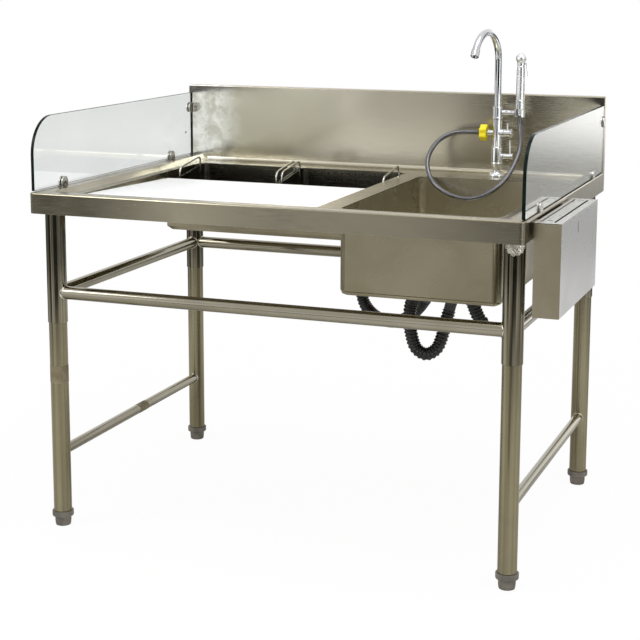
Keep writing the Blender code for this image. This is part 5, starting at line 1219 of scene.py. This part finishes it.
# %% Spout and aerator
SPOUT_WAY = Vector((-math.sin(math.radians(9.5)), -math.cos(math.radians(9.5)), 0))
RISE, ARCH_RADIUS, ARCH = 0.153, 0.075, 158.0


def spout_point(angle):
    turn = math.radians(angle)
    return (over(SPOUT_FOOT, RISE + ARCH_RADIUS * math.sin(turn))
            + SPOUT_WAY * (ARCH_RADIUS - ARCH_RADIUS * math.cos(turn)))


path = [SPOUT_FOOT, over(SPOUT_FOOT, 0.05), over(SPOUT_FOOT, 0.10)]
path += [spout_point(ARCH * step / 48) for step in range(49)]
bar_piece("spout_tube", [path], 0.0093, 40, chrome, "spout", ["spout"], 50.0)
last_way = (spout_point(ARCH) - spout_point(ARCH * 11 / 12)).normalized()
turned_piece("spout_aerator", [
    (0.0098, -0.0060), (0.0107, -0.0060), (0.0110, -0.0055), (0.0110, 0.0040), (0.0105, 0.0044),
    (0.0105, 0.0052), (0.0110, 0.0056), (0.0110, 0.0125), (0.0095, 0.0140), (0.0085, 0.0140),
    (0.0085, 0.0110), (0.0, 0.0110), (0.0, 0.0004), (0.0098, 0.0004)],
    spout_point(ARCH), chrome, "spout", ["aerator"], last_way)
turned_piece("shank_nut_round", [
    (0.0103, 0.0), (0.0175, 0.0), (0.0196, -0.0015), (0.0196, -0.0105), (0.0175, -0.0120), (0.0103, -0.0120)],
    over(TAP, UNDER_DECK - DECK), chrome, stands_for=["tap_shank_nut"], ring=True, steps=6)
print("spout made")

# %% [markdown]
# ## Hand sprayer
# The sprayer stands in the cup. Its stem, grip, throat and ball are one long turned profile. The
# lever on its side is a small plate, bent a little outwards, that hangs from a round knuckle.

# %% Sprayer
SPRAY = over(CUP_PLACE, 0.010 - 0.016)
ball, throat = 0.01375, 0.01025
ball_middle = 0.139 + math.sqrt(ball ** 2 - throat ** 2)
profile = [(0.0, ball_middle + ball)]
profile += [(ball * math.cos(math.radians(angle)), ball_middle + ball * math.sin(math.radians(angle)))
            for angle in range(80, -41, -10)]
profile += [(throat, 0.1385), (throat, 0.1320), (0.0094, 0.1310), (0.0094, 0.1285), (throat, 0.1275),
            (throat, 0.1200), (0.0108, 0.1180), (0.0118, 0.0450), (0.0118, 0.0420), (0.0112, 0.0410),
            (0.0083, 0.0410), (0.0083, 0.0030), (0.0072, 0.0010), (0.0066, 0.0), (0.0, 0.0)]
turned_piece("sprayer_handle", profile, SPRAY, satin_chrome, "sprayer", ["spray_body"])
turned_piece("sprayer_nut", [
    (0.0086, 0.0407), (0.0115, 0.0407), (0.0125, 0.0395), (0.0125, 0.0350), (0.0119, 0.0344),
    (0.0119, 0.0330), (0.0125, 0.0324), (0.0125, 0.0178), (0.0115, 0.0163),
    (0.0086, 0.0163)], SPRAY, chrome, "sprayer", ["spray_nut"], ring=True)
KNUCKLE = SPRAY + Vector((throat + 0.0033, 0, 0.136))
bm = bmesh.new()
pin(bm, 0.003, 0.0126, aim(KNUCKLE, BACKWARDS))
plate = block(bm, (0.0026, 0.0118, 0.034), (0.0016, 0, -0.017))
bmesh.ops.transform(bm, matrix=Matrix.Translation(KNUCKLE) @ Matrix.Rotation(math.radians(-8), 4, "Y"),
                    verts=plate)
face_out(bm)
finish_piece("sprayer_lever", bm, chrome, "spray_lever", ["spray_lever"], bevel=0.0007)
print("sprayer made")

# %% [markdown]
# ## Hoses
# A hose keeps its length and hangs under its own weight, so its path matters most. The paths are
# the points that the solid hoses follow. A smooth curve goes through them and runs straight for a
# short way at both ends, where a fitting holds it.

# %% Hose paths
SHOWER_POINTS = [
    (-0.0955, -0.0025, 0.114), (-0.1235, -0.0105, 0.109), (-0.1495, -0.0235, 0.094),
    (-0.1665, -0.0405, 0.070), (-0.1715, -0.0595, 0.042), (-0.1635, -0.0795, 0.015),
    (-0.1415, -0.1005, -0.012), (-0.0995, -0.1175, -0.036), (-0.0515, -0.1245, -0.046),
    (-0.0095, -0.1215, -0.039), (0.0245, -0.1075, -0.019), (0.0485, -0.0845, 0.009),
    (0.0620, -0.0585, 0.040), (0.0685, -0.0305, 0.076), (0.0665, -0.0105, 0.113)]
TROUGH_START = [(0.0, 0.0, -0.0703), (0.005, -0.003, -0.150), (0.022, -0.013, -0.185),
                (0.064, -0.040, -0.206), (0.118, -0.077, -0.204)]
TROUGH_END = [(-0.1555, 0.111, -0.139), (-0.1155, 0.075, -0.103), (-0.0865, 0.041, -0.070)]
BOWL_POINTS = [
    (-0.0135, -0.001, -0.087), (-0.0295, -0.011, -0.157), (-0.0415, -0.017, -0.183),
    (-0.0645, -0.023, -0.195), (-0.0885, -0.027, -0.181), (-0.1005, -0.029, -0.147),
    (-0.1055, -0.030, -0.107), (-0.1005, -0.032, -0.069), (-0.0795, -0.045, -0.039),
    (-0.0415, -0.059, -0.027), (0.0065, -0.059, -0.027), (0.0465, -0.045, -0.037), (0.0725, -0.027, -0.099)]


def evenly(line, spacing):
    """Points at about the given spacing along a line, with both of its ends."""
    lengths = [0.0]
    for first, second in zip(line, line[1:]):
        lengths.append(lengths[-1] + (second - first).length)
    count = max(1, round(lengths[-1] / spacing))
    result = []
    index = 0
    for step in range(count + 1):
        wanted = lengths[-1] * step / count
        while index < len(lengths) - 2 and lengths[index + 1] < wanted:
            index += 1
        share = (wanted - lengths[index]) / (lengths[index + 1] - lengths[index])
        result.append(line[index].lerp(line[index + 1], share))
    return result


def smooth_route(route, spacing):
    """A smooth curve through a route whose first and last stretches stay straight."""
    slopes = [(after - before) / 2 for before, after in zip(route, route[2:])]
    slopes[0] = (route[1] - route[0]).normalized() * (route[2] - route[1]).length
    slopes[-1] = (route[-1] - route[-2]).normalized() * (route[-2] - route[-3]).length
    fine = []
    for start, end, leave, arrive in zip(route[1:], route[2:-1], slopes, slopes[1:]):
        for t in (step / 24 for step in range(24)):
            fine.append(start * (2 * t ** 3 - 3 * t ** 2 + 1) + leave * (t ** 3 - 2 * t ** 2 + t)
                        + end * (3 * t ** 2 - 2 * t ** 3) + arrive * (t ** 3 - t ** 2))
    fine.append(route[-2])
    return evenly(route[:2], spacing)[:-1] + evenly(fine, spacing) + evenly(route[-2:], spacing)[1:]


def path_length(points):
    return sum((second - first).length for first, second in zip(points, points[1:]))


print("path points:", len(SHOWER_POINTS), len(TROUGH_START) + len(TROUGH_END), len(BOWL_POINTS))

# %% [markdown]
# The shower hose is a tube of wound metal strip. Its windings are only 2.6 mm apart, far too fine to model,
# so the ring is pushed along at a coarse step and the material draws the windings, with painted shade in
# their grooves, from the distance that was stored along the hose. The hose joins the tap to a sprayer that
# can be lifted.

# %% Shower hose
hose_start = TAP + Vector((-0.0393, 0, 0.115))
hose_end = over(SPRAY, -GAP)
route = [hose_start, hose_start - Vector((0.014, 0, 0)), *[TAP + Vector(point) for point in SHOWER_POINTS],
         over(hose_end, -0.014), hose_end]
line = smooth_route(route, 0.004)
shower = bar_piece("shower_hose_skin", [line], 0.0060, 20, hose_metal_painted_shade, None, ["shower_hose"])
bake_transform(shower)

# %% [markdown]
# The drain hoses are thick enough for their ribs to show in outline. Here the ring's radius goes
# up and down along the path, six steps to a rib, which gives real ribs.

# %% Drain hoses


def ribbed_hose(name, route, stands_for):
    line = smooth_route(route, RIB / 6)
    radii = []
    distance = 0.0
    for before, point in zip(line[:1] + line, line):
        distance += (point - before).length
        wave = math.cos(math.tau * distance / RIB)
        radii.append(0.0154 + 0.0011 * max(min(1.6 * wave, 1.0), -1.0))
    hose = bar_piece(name, [line], radii, 28, hose_black, stands_for=stands_for)
    length = path_length(line)
    return length


def hose_route(points, first_way, last_way):
    """Add the short straight stretches at a hose's two ends."""
    half = 0.033 / 2
    return [points[0], points[0] + first_way * half, *points[1:-1], points[-1] - last_way * half, points[-1]]


bowl = [WASTE + Vector(point) for point in BOWL_POINTS]
trough = [OUTLET + Vector(point) for point in TROUGH_START] + [WASTE + Vector(point) for point in TROUGH_END]
bowl_way = (bowl[0] - bowl[1]).normalized()
cuff_way = (bowl[-1] - bowl[-2]).normalized()
trough_way = (trough[-1] - trough[-2]).normalized()
cuff = turned_piece("drain_cuff", [
    (0.0115, 0.0), (0.0178, 0.0), (0.0185, 0.0010), (0.0185, 0.0060), (0.0176, 0.0070), (0.0176, 0.0180),
    (0.0185, 0.0190), (0.0185, 0.0240), (0.0178, 0.0250), (0.0115, 0.0250)],
    bowl[-1] + cuff_way * GAP, waste_black, stands_for=["drain_hose_cuff"], axis=cuff_way, ring=True)
BOWL_HOSE_LENGTH = ribbed_hose("bowl_hose_ribbed", hose_route(bowl, -bowl_way, cuff_way), ["drain_hose_bowl"])
TROUGH_HOSE_LENGTH = ribbed_hose("trough_hose_ribbed", hose_route(trough, -UPWARDS, trough_way),
                                 ["drain_hose_trough"])
print("drain hoses:", round(BOWL_HOSE_LENGTH, 3), "and", round(TROUGH_HOSE_LENGTH, 3), "m")

# %% [markdown]
# ## Wastes
# The bowl's waste shows from above: a flange let into the floor and a strainer with a knob. The strainer's
# bottom has rings of small holes. They are too small to matter to the physics model, so here they are dots of
# painted shade, where the holes show dark, made as short pins a hair above the metal.

# %% Wastes
turned_piece("waste_ring", [
    (0.0315, 0.0020), (0.0440, 0.0020), (0.0470, 0.0014), (0.0480, 0.0), (0.0330, 0.0), (0.0330, -0.030),
    (0.0315, -0.030)], over(WASTE, GAP), bowl_steel, stands_for=["waste_flange"], ring=True)
sieve = over(WASTE, 0.0026)
turned_piece("strainer_cup", [
    (0.0, 0.0060), (0.0040, 0.0060), (0.0058, 0.0050), (0.0060, 0.0035), (0.0040, -0.0020),
    (0.0038, -0.0128), (0.0276, -0.0128), (0.0288, -0.0116), (0.0288, 0.0006), (0.0296, 0.0012),
    (0.0352, 0.0012), (0.0360, 0.0006), (0.0360, 0.0), (0.0300, 0.0), (0.0300, -0.0140),
    (0.0, -0.0140)], sieve, wire_steel, "strainer", ["waste_strainer"])
# Painted shade: dark dots where the strainer's holes show dark.
bm = bmesh.new()
for ring_radius, count in ((0.010, 8), (0.016, 12), (0.022, 18)):
    for step in range(count):
        angle = math.tau * step / count
        spot = sieve + Vector((ring_radius * math.cos(angle), ring_radius * math.sin(angle), -0.0127))
        pin(bm, 0.0013, 0.0002, Matrix.Translation(spot), 10)
finish_piece("strainer_holes_painted_shade", bm, screw_dark, "strainer")
turned_piece("outlet_ring", [
    (0.0120, 0.0020), (0.0235, 0.0020), (0.0250, 0.0010), (0.0250, 0.0003), (0.0165, 0.0003),
    (0.0165, -0.070), (0.0120, -0.070)], OUTLET, bowl_steel, stands_for=["trough_outlet"], ring=True)
finish_piece("waste_cup", merged_copy("waste_body"), waste_black, stands_for=["waste_body"], bevel=0.0006)
print("wastes made")

# %% [markdown]
# ## Marks of use
# Small marks make the table this one and no other: a strip of brown tape round the front left leg
# and another on the left lower rail, and two bright dabs of weld on the front strip.

# %% Tape and dabs
bm = bmesh.new()
for place, axis, radius, width in ((over(CORNERS["front", "left"], 0.366), UPWARDS, LEG_RADIUS, 0.043),
                                   (at(-LEG_X, 0.462, LOWER_HEIGHT), BACKWARDS, LOWER_RADIUS, 0.048)):
    spin_profile(bm, [(radius + 0.0001, 0.0), (radius + 0.00035, 0.0003), (radius + 0.00035, width - 0.0003),
                      (radius + 0.0001, width)], place, axis)
clean(bm)
finish_piece("tape_bands", bm, tape_brown, smooth=60.0)
bm = bmesh.new()
for x in (0.470, 0.486):
    made = bmesh.ops.create_uvsphere(bm, u_segments=16, v_segments=8, radius=1.0)["verts"]
    bmesh.ops.scale(bm, vec=(0.0016, 0.012, 0.0005), verts=made)
    bmesh.ops.translate(bm, vec=at(x, 0.020, RIM), verts=made)
finish_piece("rim_dabs", bm, weld_steel, smooth=80.0)
print("tape and dabs made")

# %% [markdown]
# At the top of the front right sleeve the weld has run into a patch of lumps. Each lump is a flat
# ball, roughened by two sines, bent round the sleeve and turned to its place. The dark dot on each
# glass screen is a short pin, and the last piece.

# %% Weld patch and dots
LUMPS = ((-128, 0.783, 0.0100), (-106, 0.776, 0.0130), (-84, 0.773, 0.0150), (-62, 0.774, 0.0150),
         (-40, 0.777, 0.0130), (-18, 0.783, 0.0100), (-72, 0.785, 0.0090), (-96, 0.787, 0.0080))
bm = bmesh.new()
for turn, height, size in LUMPS:
    made = bmesh.ops.create_icosphere(bm, subdivisions=4, radius=1.0)["verts"]
    bmesh.ops.scale(bm, vec=(0.0009, size * 0.62, size), verts=made)
    for vertex in made:
        vertex.co.x += 0.0007 * math.sin(900 * vertex.co.y + turn) * math.sin(700 * vertex.co.z + 2 * turn)
    bmesh.ops.translate(bm, vec=(SLEEVE_RADIUS, 0, height), verts=made)
    for vertex in made:
        bend = vertex.co.y / SLEEVE_RADIUS
        vertex.co.x, vertex.co.y = vertex.co.x * math.cos(bend), vertex.co.x * math.sin(bend)
    bmesh.ops.rotate(bm, cent=(0, 0, 0), matrix=Matrix.Rotation(math.radians(turn), 3, "Z"), verts=made)
    bmesh.ops.translate(bm, vec=CORNERS["front", "right"], verts=made)
finish_piece("sleeve_weld_lumps", bm, weld_steel, smooth=80.0)
bm = bmesh.new()
for x, y, z in ((-0.5909, 0.838, 0.906), (0.5909, 0.775, 0.909)):
    pin(bm, 0.0035, 0.0006, aim(at(x - math.copysign(0.0003, x), y, z), -RIGHTWARDS if x > 0 else RIGHTWARDS),
        top=0.0028)
finish_piece("glass_dots", bm, screw_dark)
print("weld patch made of", len(LUMPS), "lumps, and a dot on each screen")
